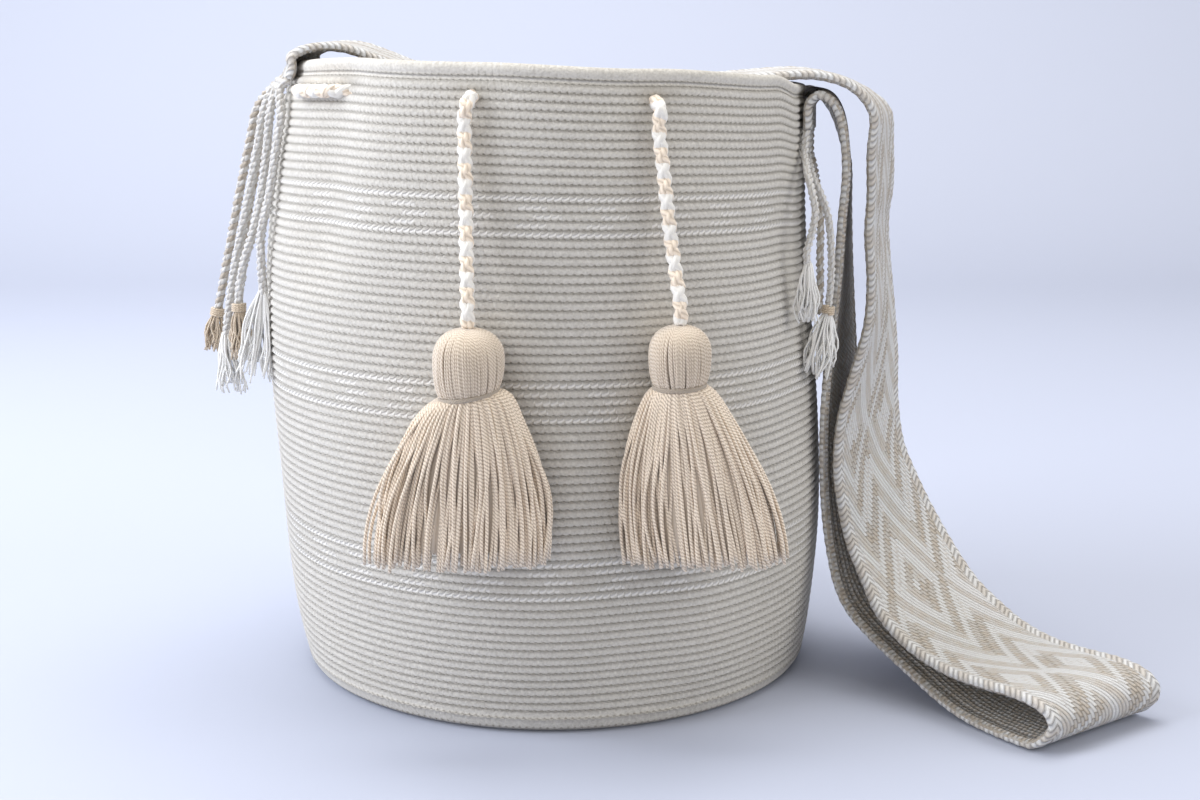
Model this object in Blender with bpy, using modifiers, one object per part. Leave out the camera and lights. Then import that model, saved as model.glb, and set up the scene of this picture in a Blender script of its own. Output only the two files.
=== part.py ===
"""A crocheted drawstring bag with a woven shoulder strap, standing upright on its base.

The origin is the centre of the base's underside. The front, with the tassels, faces -Y,
and the strap lies to +X. Lengths are metres and angles are degrees from the front (-Y),
positive towards +X.
"""
import math
import random

import bmesh
import bpy
import numpy as np
from mathutils import Vector

# Bag body
BAG_HEIGHT = 0.300
BASE_RADIUS = 0.1265
BELLY_RADIUS = 0.1368
MOUTH_RADIUS = 0.1225
BELLY_SHARE = 0.35
WALL = 0.0045
FLOOR_THICKNESS = 0.0060
BASE_CORNER = 0.0080
RIM_THICKNESS = 0.0056
RIDGE_DEPTH = 0.0009
ROW_COUNT = 78
ROWS_PER_RIDGE = 2
BASE_ROWS = 2
RIM_ROWS = 2
BAND_FIRST_ROWS = (17, 38, 59)
BAND_SPANS = (1, 3, 1)
BODY_SEGMENTS = 32
INNER_RINGS = 8
INNER_CROWDING = 1.5
SIDE_LEAN = 0.007

# Height of the rim above or below BAG_HEIGHT, by angle
RIM_RISE = ((-180, -0.008), (-135, -0.004), (-90, -0.001), (-47, 0.002), (-15, 0.001),
            (22, -0.002), (58, -0.006), (72, -0.011), (90, -0.012), (108, -0.012), (140, -0.010),
            (180, -0.008))

# Soft folds of the wall: angle, half width, depth inwards, lowest and highest level as shares
FOLDS = ((-48, 9, 0.0050, 0.62, 1.20), (-64, 14, 0.0028, 0.70, 1.20), (16, 11, 0.0024, -0.05, 0.42),
         (34, 9, -0.0012, -0.02, 0.45), (-15, 9, 0.0018, 0.80, 1.15), (23, 9, 0.0018, 0.80, 1.15),
         (62, 12, 0.0020, 0.30, 0.85), (-100, 16, 0.0020, 0.15, 0.60), (150, 14, 0.0026, 0.35, 1.10),
         (-88, 28, -0.0055, 0.72, 1.06))

# Drawstring
CORD_RADIUS = 0.00325
CORD_GAP = 0.0014
EYELET_CLEARANCE = 0.0007
EYELET_DROP = 0.0145
LEFT_EYELET = -14
RIGHT_EYELET = 23
CORD_SPACING = 0.0155
PASSAGE_REACH = 4.6

# Tassels: head radius, head height, skirt length, bottom half width, half depth, sideways run
CORD_HANG = 0.094
TASSEL_SIZES = {
    "left": (0.0155, 0.0293, 0.0735, 0.0385, 0.0150, -0.005),
    "right": (0.0138, 0.0274, 0.0780, 0.0352, 0.0145, 0.011),
}
TASSEL_ANGLES = {"left": -9.8, "right": 24.9}
TASSEL_FLUTES = 20
NECK_SHARE = 0.76
FLARE = 2.1
TIE_RADIUS = 0.0009

# Shoulder strap
STRAP_WIDTH = 0.076
BAND_THICKNESS = 0.0038
SELVAGE_THICKNESS = 0.0045
SELVAGE_WIDTH = 0.0060
SEAM_HEIGHT = 0.012
RIGHT_SEAM_DROP = 0.0205
LEFT_SEAM_DROP = 0.0080
STATION_SPACING = 0.020
SEWN_GAP = 0.0008

# Fringe
LEFT_FRINGE_RADIUS = 0.0025
RIGHT_FRINGE_RADIUS = 0.0021
FRINGE_TIE_RADIUS = 0.0007
TUFT_OUTLINE = ((0.0, 0.0), (0.15, 0.7), (0.45, 1.0), (0.78, 0.85), (1.0, 0.3))
FRINGE_SPACING = 0.012

TOUCH_GAP = 0.0003

COLOURS = {
    "cream_cotton": (0.700, 0.670, 0.610),
    "beige_yarn": (0.640, 0.540, 0.400),
    "cream_yarn": (0.800, 0.780, 0.720),
    "taupe_yarn": (0.460, 0.380, 0.290),
    "tan_thread": (0.580, 0.470, 0.330),
}


def clear_scene():
    for old in list(bpy.data.objects):
        bpy.data.objects.remove(old, do_unlink=True)


def make_collection(name):
    collection = bpy.data.collections.new(name)
    bpy.context.scene.collection.children.link(collection)
    return collection


def make_material(name, roughness=0.9):
    material = bpy.data.materials.new(name)
    material.use_nodes = True
    shader = material.node_tree.nodes["Principled BSDF"]
    shader.inputs["Base Color"].default_value = (*COLOURS[name], 1.0)
    shader.inputs["Roughness"].default_value = roughness
    shader.inputs["Metallic"].default_value = 0.0
    return material


def smooth_step(low, high, value):
    share = min(max((value - low) / (high - low), 0.0), 1.0)
    return share * share * (3.0 - 2.0 * share)


def angle_between(first, second):
    return (first - second + 180.0) % 360.0 - 180.0


def wall_radius(height):
    """Radius of the crests of the outer wall, before the folds."""
    share = height / BAG_HEIGHT
    if share < BELLY_SHARE:
        low = max(1.0 - share / BELLY_SHARE, 0.0)
        return BELLY_RADIUS - (BELLY_RADIUS - BASE_RADIUS) * low ** 2.6
    high = (share - BELLY_SHARE) / (1.0 - BELLY_SHARE)
    return BELLY_RADIUS - (BELLY_RADIUS - MOUTH_RADIUS) * high ** 2.5


def lean(height):
    """Sideways shift of the wall's axis: the full belly settles towards -X."""
    share = min(max(height / BAG_HEIGHT, 0.0), 1.0)
    return -SIDE_LEAN * math.sin(math.pi * share ** 1.7)


def fold_offset(angle, height):
    """Outward shift of the wall where the soft cotton folds."""
    share = height / BAG_HEIGHT
    offset = 0.0010 * math.sin(math.radians(3 * angle + 500 * share)) * min(share / 0.15, 1.0)
    for centre, half_width, depth, low, high in FOLDS:
        across = math.exp(-(angle_between(angle, centre) / half_width) ** 2)
        along = smooth_step(low, low + 0.14, share) * (1.0 - smooth_step(high - 0.14, high, share))
        offset -= depth * across * along
    return offset * smooth_step(0.0, 0.10, share)


def rim_rise(angle):
    wrapped = angle_between(angle, 0.0)
    for (left, low), (right, high) in zip(RIM_RISE, RIM_RISE[1:]):
        if left <= wrapped <= right:
            return low + (high - low) * smooth_step(left, right, wrapped)
    return RIM_RISE[0][1]


def facet_radius(angle, height, out=0.0):
    """Radius of the faceted wall: straight between the columns of the turned body."""
    step = 360.0 / BODY_SEGMENTS
    column = math.floor(angle / step) * step
    past = math.radians(angle - column)
    first, second = (wall_radius(height) + fold_offset(turn, height) + out for turn in (column, column + step))
    reach = first * math.sin(past) + second * math.sin(math.radians(step) - past)
    return first * second * math.sin(math.radians(step)) / reach


def on_wall(angle, height, out=0.0):
    """Point at an angle and a row level, at a distance outside the wall's crests."""
    radius = facet_radius(angle, height, out)
    turn = math.radians(angle)
    rise = rim_rise(angle) * max(height / BAG_HEIGHT, 0.0) ** 3
    return Vector((lean(height) + radius * math.sin(turn), -radius * math.cos(turn), height + rise))


def level_under_rise(angle, z):
    """Row level that ends up at the height z once the rim's rise is added."""
    level = z
    for _ in range(6):
        level = z - rim_rise(angle) * max(level / BAG_HEIGHT, 0.0) ** 3
    return level


def side_x(side, y, z, out):
    """X of a point beside the wall at the given depth and height."""
    x = side * MOUTH_RADIUS
    for _ in range(8):
        angle = math.degrees(math.atan2(x, -y))
        level = level_under_rise(angle, z)
        radius = facet_radius(angle, level, out)
        x = lean(level) + side * math.sqrt(radius * radius - y * y)
    return x


def smooth_through(points, spacing):
    """Catmull-Rom curve through the points, a point every spacing or less."""
    rows = [np.array(point, dtype=float) for point in points]
    rows = [2 * rows[0] - rows[1], *rows, 2 * rows[-1] - rows[-2]]
    result = []
    for first, start, end, last in zip(rows, rows[1:], rows[2:], rows[3:]):
        steps = max(1, round(float(np.linalg.norm((end - start)[:3])) / spacing))
        for step in range(steps):
            t = step / steps
            result.append(0.5 * (2 * start + (end - first) * t
                                 + (2 * first - 5 * start + 4 * end - last) * t ** 2
                                 + (3 * start - first - 3 * end + last) * t ** 3))
    result.append(rows[-2])
    return result


def add_mesh(name, build, collection, material):
    mesh = bpy.data.meshes.new(name)
    build.to_mesh(mesh)
    build.free()
    made = bpy.data.objects.new(name, mesh)
    collection.objects.link(made)
    mesh.materials.append(material)
    return made


def loft(name, rings, collection, material):
    """Closed solid through rings that have the same number of points."""
    build = bmesh.new()
    loops = [[build.verts.new(point) for point in ring] for ring in rings]
    count = len(loops[0])
    for lower, upper in zip(loops, loops[1:]):
        for i in range(count):
            j = (i + 1) % count
            build.faces.new((lower[i], lower[j], upper[j], upper[i]))
    build.faces.new(loops[0][::-1])
    build.faces.new(loops[-1])
    bmesh.ops.recalc_face_normals(build, faces=build.faces)
    return add_mesh(name, build, collection, material)


def cord(name, points, radius, collection, material):
    """Round tube along the points, closed at both ends."""
    curve = bpy.data.curves.new(name, "CURVE")
    curve.dimensions = "3D"
    curve.bevel_depth = radius
    curve.bevel_resolution = 2
    curve.use_fill_caps = True
    spline = curve.splines.new("POLY")
    spline.points.add(len(points) - 1)
    for target, point in zip(spline.points, points):
        target.co = (*point[:3], 1.0)
    made = bpy.data.objects.new(name, curve)
    collection.objects.link(made)
    curve.materials.append(material)
    return made


def frozen(source, collection):
    """Mesh copy of an object's evaluated shape; the source goes."""
    bpy.context.view_layer.update()
    graph = bpy.context.evaluated_depsgraph_get()
    mesh = bpy.data.meshes.new_from_object(source.evaluated_get(graph), depsgraph=graph)
    mesh.transform(source.matrix_world)
    build = bmesh.new()
    build.from_mesh(mesh)
    bmesh.ops.remove_doubles(build, verts=build.verts, dist=0.00002)
    bmesh.ops.recalc_face_normals(build, faces=build.faces)
    build.to_mesh(mesh)
    build.free()
    name = source.name
    bpy.data.objects.remove(source, do_unlink=True)
    mesh.name = name
    made = bpy.data.objects.new(name, mesh)
    collection.objects.link(made)
    return made


def ridge_rows():
    """Row numbers where one ridge ends and the next begins, from the base up."""
    row = BASE_ROWS
    edges = [row]
    while row < ROW_COUNT - RIM_ROWS:
        if row in BAND_FIRST_ROWS:
            for span in BAND_SPANS:
                row += span
                edges.append(row)
            continue
        limits = [first for first in BAND_FIRST_ROWS if first > row] + [ROW_COUNT - RIM_ROWS]
        row = min(row + ROWS_PER_RIDGE, min(limits))
        edges.append(row)
    return edges


def body_profile():
    """Half section from the inside of the base, over the rim and down to the underside."""
    pitch = BAG_HEIGHT / ROW_COUNT
    profile = [(0.0, FLOOR_THICKNESS)]
    inner_foot = wall_radius(FLOOR_THICKNESS) - WALL
    for turn in (0, 45, 90):
        lift = math.radians(turn)
        profile.append((inner_foot - BASE_CORNER * (1 - math.sin(lift)),
                        FLOOR_THICKNESS + BASE_CORNER * (1 - math.cos(lift))))
    inner_low = FLOOR_THICKNESS + 2 * BASE_CORNER
    inner_high = BAG_HEIGHT - RIM_ROWS * pitch
    for step in range(INNER_RINGS):
        up = 1.0 - (1.0 - step / (INNER_RINGS - 1)) ** INNER_CROWDING
        height = inner_low + (inner_high - inner_low) * up
        profile.append((wall_radius(height) - WALL, height))
    rim_centre = BAG_HEIGHT - RIM_THICKNESS / 2
    rim_radius = wall_radius(rim_centre) - RIM_THICKNESS / 2 + 0.0003
    for turn in (180, 126, 90, 54, 0, -40):
        angle = math.radians(turn)
        profile.append((rim_radius + RIM_THICKNESS / 2 * math.cos(angle),
                        rim_centre + RIM_THICKNESS / 2 * math.sin(angle)))
    edges = ridge_rows()[::-1]
    for upper, lower in zip(edges, edges[1:]):
        groove = upper * pitch
        crest = (upper + lower) / 2 * pitch
        profile.append((wall_radius(groove) - RIDGE_DEPTH, groove))
        profile.append((wall_radius(crest), crest))
    corner_top = edges[-1] * pitch
    profile.append((wall_radius(corner_top) - RIDGE_DEPTH, corner_top))
    corner_centre = wall_radius(corner_top) - RIDGE_DEPTH - BASE_CORNER
    for turn in (30, 60, 90):
        angle = math.radians(turn)
        profile.append((corner_centre + BASE_CORNER * math.cos(angle), corner_top * (1 - math.sin(angle))))
    profile.append((0.0, 0.0))
    return profile


def make_body(collection, material):
    profile = body_profile()
    mesh = bpy.data.meshes.new("body_profile")
    mesh.from_pydata([(x, 0.0, z) for x, z in profile],
                     [(i, i + 1) for i in range(len(profile) - 1)], [])
    turned = bpy.data.objects.new("crocheted_body", mesh)
    collection.objects.link(turned)
    screw = turned.modifiers.new("turn", "SCREW")
    screw.steps = BODY_SEGMENTS
    screw.render_steps = BODY_SEGMENTS
    screw.use_merge_vertices = True
    screw.merge_threshold = 0.00005
    mesh.materials.append(material)
    body = frozen(turned, collection)
    for vertex in body.data.vertices:
        x, y, z = vertex.co
        radius = math.hypot(x, y)
        if radius < 0.001 or z < 0.0001:
            continue
        angle = math.degrees(math.atan2(x, -y))
        out = radius - wall_radius(z)
        inside = smooth_step(0.3, 0.85, radius / wall_radius(z))
        moved = on_wall(angle, z, out)
        vertex.co = vertex.co.lerp(moved, inside)
    return body


def inside_wall():
    return -(WALL + CORD_RADIUS + CORD_GAP)


def outside_wall():
    return CORD_RADIUS + CORD_GAP


def tassel_top(side):
    """Where a drawstring end enters the tassel's head, which lies just off the wall."""
    head_radius = TASSEL_SIZES[side][0]
    return on_wall(TASSEL_ANGLES[side], BAG_HEIGHT - EYELET_DROP - CORD_HANG, head_radius + 2 * CORD_GAP)


def passage(angle, level, direction, outwards):
    """Three points that take the cord through the wall at an angle."""
    first, last = (inside_wall(), outside_wall()) if outwards else (outside_wall(), inside_wall())
    middle = -WALL / 2
    return [on_wall(angle - direction * PASSAGE_REACH, level, first),
            on_wall(angle, level, middle),
            on_wall(angle + direction * PASSAGE_REACH, level, last)]


def eyelet_points(angle, turn_to, side):
    """From the eyelet's mouth at the front to the run inside the wall, end first."""
    level = BAG_HEIGHT - EYELET_DROP
    top = tassel_top(side) + Vector((0.0, 0.0, TOUCH_GAP))
    outer = on_wall(angle, level - 0.011, outside_wall() + 0.0005)
    return [top,
            top + Vector((0.0, 0.0, 0.008)),
            top.lerp(outer, 0.45),
            top.lerp(outer, 0.78),
            outer,
            on_wall(angle, level - 0.0035, outside_wall() + 0.0020),
            on_wall(angle, level, 0.0015),
            on_wall(angle + turn_to * 0.7, level, -WALL - 0.0010),
            on_wall(angle + turn_to * 4.6, level, inside_wall() - 0.0010)]


def drawstring_route():
    """The whole cord: left end, in at the left eyelet, round the mouth and out at the right one."""
    level = BAG_HEIGHT - EYELET_DROP
    route = eyelet_points(LEFT_EYELET, -1, "left")
    route += [on_wall(angle, level, inside_wall()) for angle in (-27, -36)]
    route += passage(-48, level, -1, True)
    route += [on_wall(-58, level, outside_wall())]
    route += passage(-68, level, -1, False)
    route += [on_wall(angle, level, inside_wall()) for angle in range(-80, -166, -10)]
    route += passage(-168, level, -1, True)
    route += [on_wall(-180, level, outside_wall())]
    route += passage(-192, level, -1, False)
    route += [on_wall(angle, level, inside_wall()) for angle in range(-204, -330, -10)]
    route += eyelet_points(RIGHT_EYELET, 1, "right")[::-1]
    return smooth_through(route, CORD_SPACING)


def wall_distance(point):
    """How far a point is outside the wall's crests, negative inside."""
    angle = math.degrees(math.atan2(point[0] - lean(point[2]), -point[1]))
    level = level_under_rise(angle, point[2])
    radius = math.hypot(point[0] - lean(level), point[1])
    return radius - facet_radius(angle, level)


def cut_eyelets(body, route, collection):
    """Open the wall wherever the drawstring comes near it."""
    reach = CORD_RADIUS + EYELET_CLEARANCE
    near = [-WALL - reach < wall_distance(point) < reach - 0.0004 for point in route]
    runs = []
    for i, is_near in enumerate(near):
        if is_near and (i == 0 or not near[i - 1]):
            runs.append([i, i])
        if is_near:
            runs[-1][1] = i
    for number, (first, last) in enumerate(runs):
        stretch = route[max(first - 1, 0):last + 2]
        name = f"eyelet_cutter_{number}"
        cutter = frozen(cord(name, stretch, reach, collection, body.data.materials[0]), collection)
        cutter.display_type = "WIRE"
        cutter.hide_render = True
        cut = body.modifiers.new(name, "BOOLEAN")
        cut.operation = "DIFFERENCE"
        cut.solver = "EXACT"
        cut.object = cutter


def tassel_rings(side):
    """Rings of a folded bundle of yarns: round head, tied neck, fluted flaring skirt."""
    head_radius, head_height, skirt, half_width, half_depth, run = TASSEL_SIZES[side]
    top = tassel_top(side)
    neck_radius = head_radius * NECK_SHARE
    chance = random.Random(7 if side == "left" else 11)
    flutes = [chance.uniform(-1.0, 1.0) for _ in range(TASSEL_FLUTES)]
    levels = [(0.00, 0.30), (0.06, 0.62), (0.20, 0.88), (0.45, 1.0), (0.72, 0.93), (0.90, 0.70)]
    rings = []
    count = 2 * TASSEL_FLUTES
    for share, size in levels:
        centre = top - Vector((0.0, 0.0, head_height * share))
        rings.append((centre, head_radius * size, head_radius * size, 0.0006))
    neck = top - Vector((0.0, 0.0, head_height))
    rings.append((neck, neck_radius, neck_radius, 0.0004))
    for share in (0.07, 0.2, 0.4, 0.62, 0.84, 1.0):
        spread = 1.0 - (1.0 - share) ** FLARE
        centre = neck + Vector((run * share, 0.0, -skirt * share))
        wide = neck_radius + (half_width - neck_radius) * spread
        deep = neck_radius + (half_depth - neck_radius) * min(spread * 1.6, 1.0)
        centre.y -= max(deep - head_radius, 0.0)
        rings.append((centre, wide, deep, 0.0006 + 0.0012 * share))
    result = []
    for number, (centre, wide, deep, flute) in enumerate(rings):
        ring = []
        for i in range(count):
            turn = 2 * math.pi * i / count
            depth = flute * (1.0 if i % 2 else -1.0) * (0.7 + 0.3 * flutes[i // 2])
            drop = 0.004 * flutes[(i * 3) // 2 % TASSEL_FLUTES] if number == len(rings) - 1 else 0.0
            ring.append(centre + Vector(((wide + depth) * math.cos(turn),
                                         (deep + depth) * math.sin(turn), drop)))
        pressed = max(2 * TOUCH_GAP - wall_distance(point) for point in ring)
        if pressed > 0.0:
            ring = [point - Vector((0.0, pressed + TOUCH_GAP, 0.0)) for point in ring]
        result.append(ring)
    return result, neck, neck_radius


def make_tassel(side, collection, yarn):
    rings, neck, neck_radius = tassel_rings(side)
    loft(f"tassel_{side}", rings, collection, yarn)
    bpy.ops.mesh.primitive_torus_add(major_segments=20, minor_segments=6, location=neck,
                                     major_radius=neck_radius + TIE_RADIUS + 0.0014,
                                     minor_radius=TIE_RADIUS)
    tie = bpy.context.object
    tie.name = f"tassel_tie_{side}"
    tie.data.materials.append(yarn)
    for other in list(tie.users_collection):
        other.objects.unlink(tie)
    collection.objects.link(tie)


def strap_route():
    """Near edge of the band with its turn: x, y, z, turn of the width, bow that follows the wall."""
    half = SELVAGE_THICKNESS / 2 + TOUCH_GAP
    edge = -STRAP_WIDTH / 2
    bow = MOUTH_RADIUS - math.sqrt(MOUTH_RADIUS ** 2 - (STRAP_WIDTH / 2) ** 2)
    rim = BAG_HEIGHT + rim_rise(90)
    seam = rim - RIGHT_SEAM_DROP

    def beside(out, y, z, turn, bowed=0.0):
        return (side_x(1, y, z, out), y, z, turn, bowed)

    sewn = half + SEWN_GAP
    inner = [
        beside(sewn, edge, seam, 0, bow), beside(sewn, edge, seam + SEAM_HEIGHT / 2, 0, bow),
        beside(sewn + 0.0006, edge, seam + SEAM_HEIGHT, 0, bow),
        beside(0.0085, edge, rim - 0.0045, 2, bow * 0.9), beside(0.0150, edge, rim - 0.0080, 3, bow * 0.6),
        beside(0.0195, edge, rim - 0.0190, 5, bow * 0.3), beside(0.0215, edge - 0.002, rim - 0.0400, 8),
        beside(0.0195, edge - 0.004, 0.2240, 10), beside(0.0165, edge - 0.005, 0.1980, 12),
        beside(0.0110, edge - 0.006, 0.1660, 16), beside(0.0068, edge - 0.006, 0.1340, 20),
        beside(0.0050, edge - 0.006, 0.1080, 26), beside(0.0058, edge - 0.007, 0.0830, 31),
        beside(0.0095, edge - 0.009, 0.0620, 38), (0.1387, -0.052, 0.0460, 44, 0),
        (0.1444, -0.057, 0.0345, 49, 0), (0.1530, -0.068, 0.0262, 53, 0), (0.1640, -0.081, 0.0180, 54, 0),
        (0.1780, -0.098, 0.0085, 54, 0), (0.1870, -0.111, 0.0042, 54, 0), (0.1960, -0.124, half, 54, 0),
    ]
    fold = [
        (0.2080, -0.1410, half, 54, 0), (0.2140, -0.1480, 0.0036, 54, 0), (0.2190, -0.1515, 0.0085, 54, 0),
        (0.2208, -0.1525, 0.0140, 54, 0), (0.2188, -0.1510, 0.0188, 54, 0), (0.2140, -0.1470, 0.0222, 54, 0),
        (0.2060, -0.1370, 0.0232, 54, 0),
    ]
    outer = [
        (0.1940, -0.1220, 0.0222, 54, 0), (0.1825, -0.1070, 0.0224, 54, 0), (0.1715, -0.0930, 0.0258, 54, 0),
        (0.1625, -0.0820, 0.0318, 54, 0), (0.1550, -0.0710, 0.0402, 51, 0), (0.1500, -0.0620, 0.0520, 47, 0),
        beside(0.0190, edge - 0.014, 0.0677, 44), beside(0.0140, edge - 0.012, 0.0860, 39),
        beside(0.0120, edge - 0.011, 0.1050, 34), beside(0.0145, edge - 0.010, 0.1280, 30),
        beside(0.0205, edge - 0.008, 0.1500, 25), beside(0.0285, edge - 0.007, 0.1740, 18),
        beside(0.0315, edge - 0.006, 0.1960, 15), beside(0.0315, edge - 0.005, 0.2180, 15),
        beside(0.0325, edge - 0.003, rim - 0.0520, 16), beside(0.0325, edge - 0.002, rim - 0.0320, 16),
        beside(0.0335, edge, rim - 0.0150, 14), (0.1468, edge, rim - 0.0052, 9, bow * 0.2),
        (0.1385, edge, rim + 0.0010, 4, bow * 0.4), (0.1280, edge, rim + 0.0042, 1, bow * 0.4),
        (0.1180, edge, rim + half + 0.0024, 0, bow * 0.4),
    ]
    left_rim = BAG_HEIGHT + rim_rise(-90)
    across = [
        (0.1020, edge, rim + 0.0040, 0, bow * 0.2), (0.0600, edge, rim + 0.0006, 0, 0),
        (0.0100, edge, rim - 0.0010, 0, 0), (-0.0350, edge, rim + 0.0010, 0, 0),
        (-0.0650, edge, left_rim - 0.0050, 0, 0), (-0.0830, edge, left_rim + 0.0014, 0, 0),
        (-0.0960, edge, left_rim + 0.0060, 0, -bow * 0.3), (-0.1070, edge, left_rim + 0.0070, 0, -bow * 0.6),
        (-0.1160, edge, left_rim + 0.0056, 0, -bow * 0.8),
    ]
    for drop, out in ((-0.0020, 0.0030), (0.0018, 0.0012), (0.0048, 0.0006), (LEFT_SEAM_DROP, 0.0004)):
        height = left_rim - drop
        across.append((side_x(-1, edge, height, sewn + out), edge, height, 0, -bow))
    return inner + fold + outer + across


def band_section():
    """Half of the band's section: distance across the width and height above the middle."""
    selvage = SELVAGE_THICKNESS / 2
    edge = [(0.0, selvage * 0.45), (SELVAGE_WIDTH * 0.3, selvage), (SELVAGE_WIDTH, BAND_THICKNESS / 2)]
    middle = [(STRAP_WIDTH * share, BAND_THICKNESS / 2) for share in (0.3, 0.5, 0.7)]
    return edge + middle + [(STRAP_WIDTH - u, v) for u, v in edge[::-1]]


def clear_of_wall(point, radius):
    """The point, moved out where it would press into the wall."""
    missing = radius + 2 * TOUCH_GAP - wall_distance(point)
    if missing <= 0.0:
        return point
    outward = Vector((point[0] - lean(point[2]), point[1], 0.0)).normalized()
    return Vector(point) + outward * missing


def band_point(station, across):
    """Middle of the band's thickness at a distance across its width, clear of the wall."""
    turn = math.radians(station[3])
    share = across / STRAP_WIDTH
    point = Vector(station[:3]) + across * Vector((math.sin(turn), math.cos(turn), 0.0))
    point.x += station[4] * 4 * share * (1 - share)
    rim = BAG_HEIGHT + rim_rise(math.degrees(math.atan2(point.x, -point.y)))
    if point.z < rim + TOUCH_GAP and wall_distance(point) > -2 * WALL:
        point = clear_of_wall(point, SELVAGE_THICKNESS / 2 + TOUCH_GAP)
    return point


def strap_rings():
    stations = smooth_through(strap_route(), STATION_SPACING)
    upper = band_section()
    lower = [(across, -lift) for across, lift in upper[::-1]]
    rings = []
    for i, station in enumerate(stations):
        before = stations[max(i - 1, 0)]
        after = stations[min(i + 1, len(stations) - 1)]
        tangent = Vector(after[:3] - before[:3]).normalized()
        turn = math.radians(station[3])
        width = Vector((math.sin(turn), math.cos(turn), 0.0))
        normal = tangent.cross(width).normalized()
        ring = []
        for across, lift in upper + lower:
            ring.append(band_point(station, across) + normal * lift)
        rings.append(ring)
    return rings, stations


def beyond_end(end, before, share, reach):
    """Point past an end face of the strap, at a share of its width."""
    tip = band_point(end, STRAP_WIDTH * share)
    run = (tip - band_point(before, STRAP_WIDTH * share)).normalized()
    return tip + run * reach


FRINGE_ROUTES = {
    "left_1": (0.42, [(-0.1445, -0.008, 0.2765), (-0.1484, -0.010, 0.2608), (-0.1539, -0.012, 0.2366),
                      (-0.1594, -0.012, 0.2120), (-0.1648, -0.012, 0.1881), (-0.1680, -0.012, 0.1740)]),
    "left_2": (0.27, [(-0.1392, -0.020, 0.2760), (-0.1429, -0.022, 0.2568), (-0.1484, -0.024, 0.2305),
                      (-0.1543, -0.024, 0.2061), (-0.1586, -0.024, 0.1839), (-0.1612, -0.024, 0.1660)]),
    "left_3": (0.58, [(-0.1430, 0.008, 0.2745), (-0.1470, 0.008, 0.2547), (-0.1515, 0.006, 0.2349),
                      (-0.1552, 0.004, 0.2151), (-0.1575, 0.003, 0.1995), (-0.1575, 0.002, 0.1889)]),
    "left_4": (0.135, [(-0.1340, -0.0325, 0.2750), (-0.1360, -0.034, 0.2577), (-0.1392, -0.036, 0.2365),
                       (-0.1440, -0.037, 0.2174), (-0.1484, -0.037, 0.2044), (-0.1515, -0.036, 0.1900),
                       (-0.1520, -0.036, 0.1800)]),
    "left_5": (0.02, [(-0.1271, -0.043, 0.2745), (-0.1301, -0.045, 0.2560), (-0.1334, -0.046, 0.2373),
                      (-0.1379, -0.046, 0.2197), (-0.1385, -0.046, 0.2054), (-0.1380, -0.046, 0.1900)]),
    "right_1": (0.12, [(0.1222, -0.0330, 0.2540), (0.1234, -0.0410, 0.2465), (0.1268, -0.0460, 0.2385),
                       (0.1305, -0.0480, 0.2275), (0.1322, -0.0490, 0.2135), (0.1325, -0.0500, 0.1984),
                       (0.1312, -0.0510, 0.1810)]),
    "right_2": (0.02, [(0.1198, -0.0420, 0.2545), (0.1198, -0.0530, 0.2480), (0.1214, -0.0600, 0.2400),
                       (0.1227, -0.0630, 0.2310), (0.1213, -0.0650, 0.2225), (0.1186, -0.0670, 0.2128),
                       (0.1195, -0.0670, 0.2060)]),
    "right_3": (0.22, [(0.1248, -0.0245, 0.2540), (0.1262, -0.0320, 0.2440), (0.1275, -0.0370, 0.2352),
                       (0.1282, -0.0390, 0.2214), (0.1282, -0.0400, 0.2064), (0.1286, -0.0405, 0.1924),
                       (0.1280, -0.0410, 0.1801)]),
}

# Frayed ends: length, half width, half depth, sideways run, yarn
TUFTS = {
    "left_1": (0.019, 0.0050, 0.0040, -0.002, "tan_thread"),
    "left_2": (0.030, 0.0062, 0.0045, 0.002, "cream_yarn"),
    "left_4": (0.026, 0.0055, 0.0045, 0.000, "tan_thread"),
    "left_5": (0.044, 0.0090, 0.0040, -0.005, "cream_yarn"),
    "right_1": (0.033, 0.0075, 0.0050, -0.004, "cream_yarn"),
    "right_2": (0.028, 0.0050, 0.0035, 0.000, "cream_yarn"),
}
TIED = ("left_1", "left_4", "right_1")


def make_fringe(name, end, before, radius, collection, materials):
    share, route = FRINGE_ROUTES[name]
    start = beyond_end(end, before, share, 2 * TOUCH_GAP)
    below = beyond_end(end, before, share, 2 * TOUCH_GAP + 0.006)
    smooth = smooth_through([start, below, *route], FRINGE_SPACING)
    path = [start] + [clear_of_wall(point, radius) for point in smooth[1:]]
    yarn = "taupe_yarn" if name in ("left_3", "right_3") else "cream_yarn"
    cord(f"fringe_{name}", path, radius, collection, materials[yarn])
    if name in TUFTS:
        make_tuft(name, path, radius, collection, materials)


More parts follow.
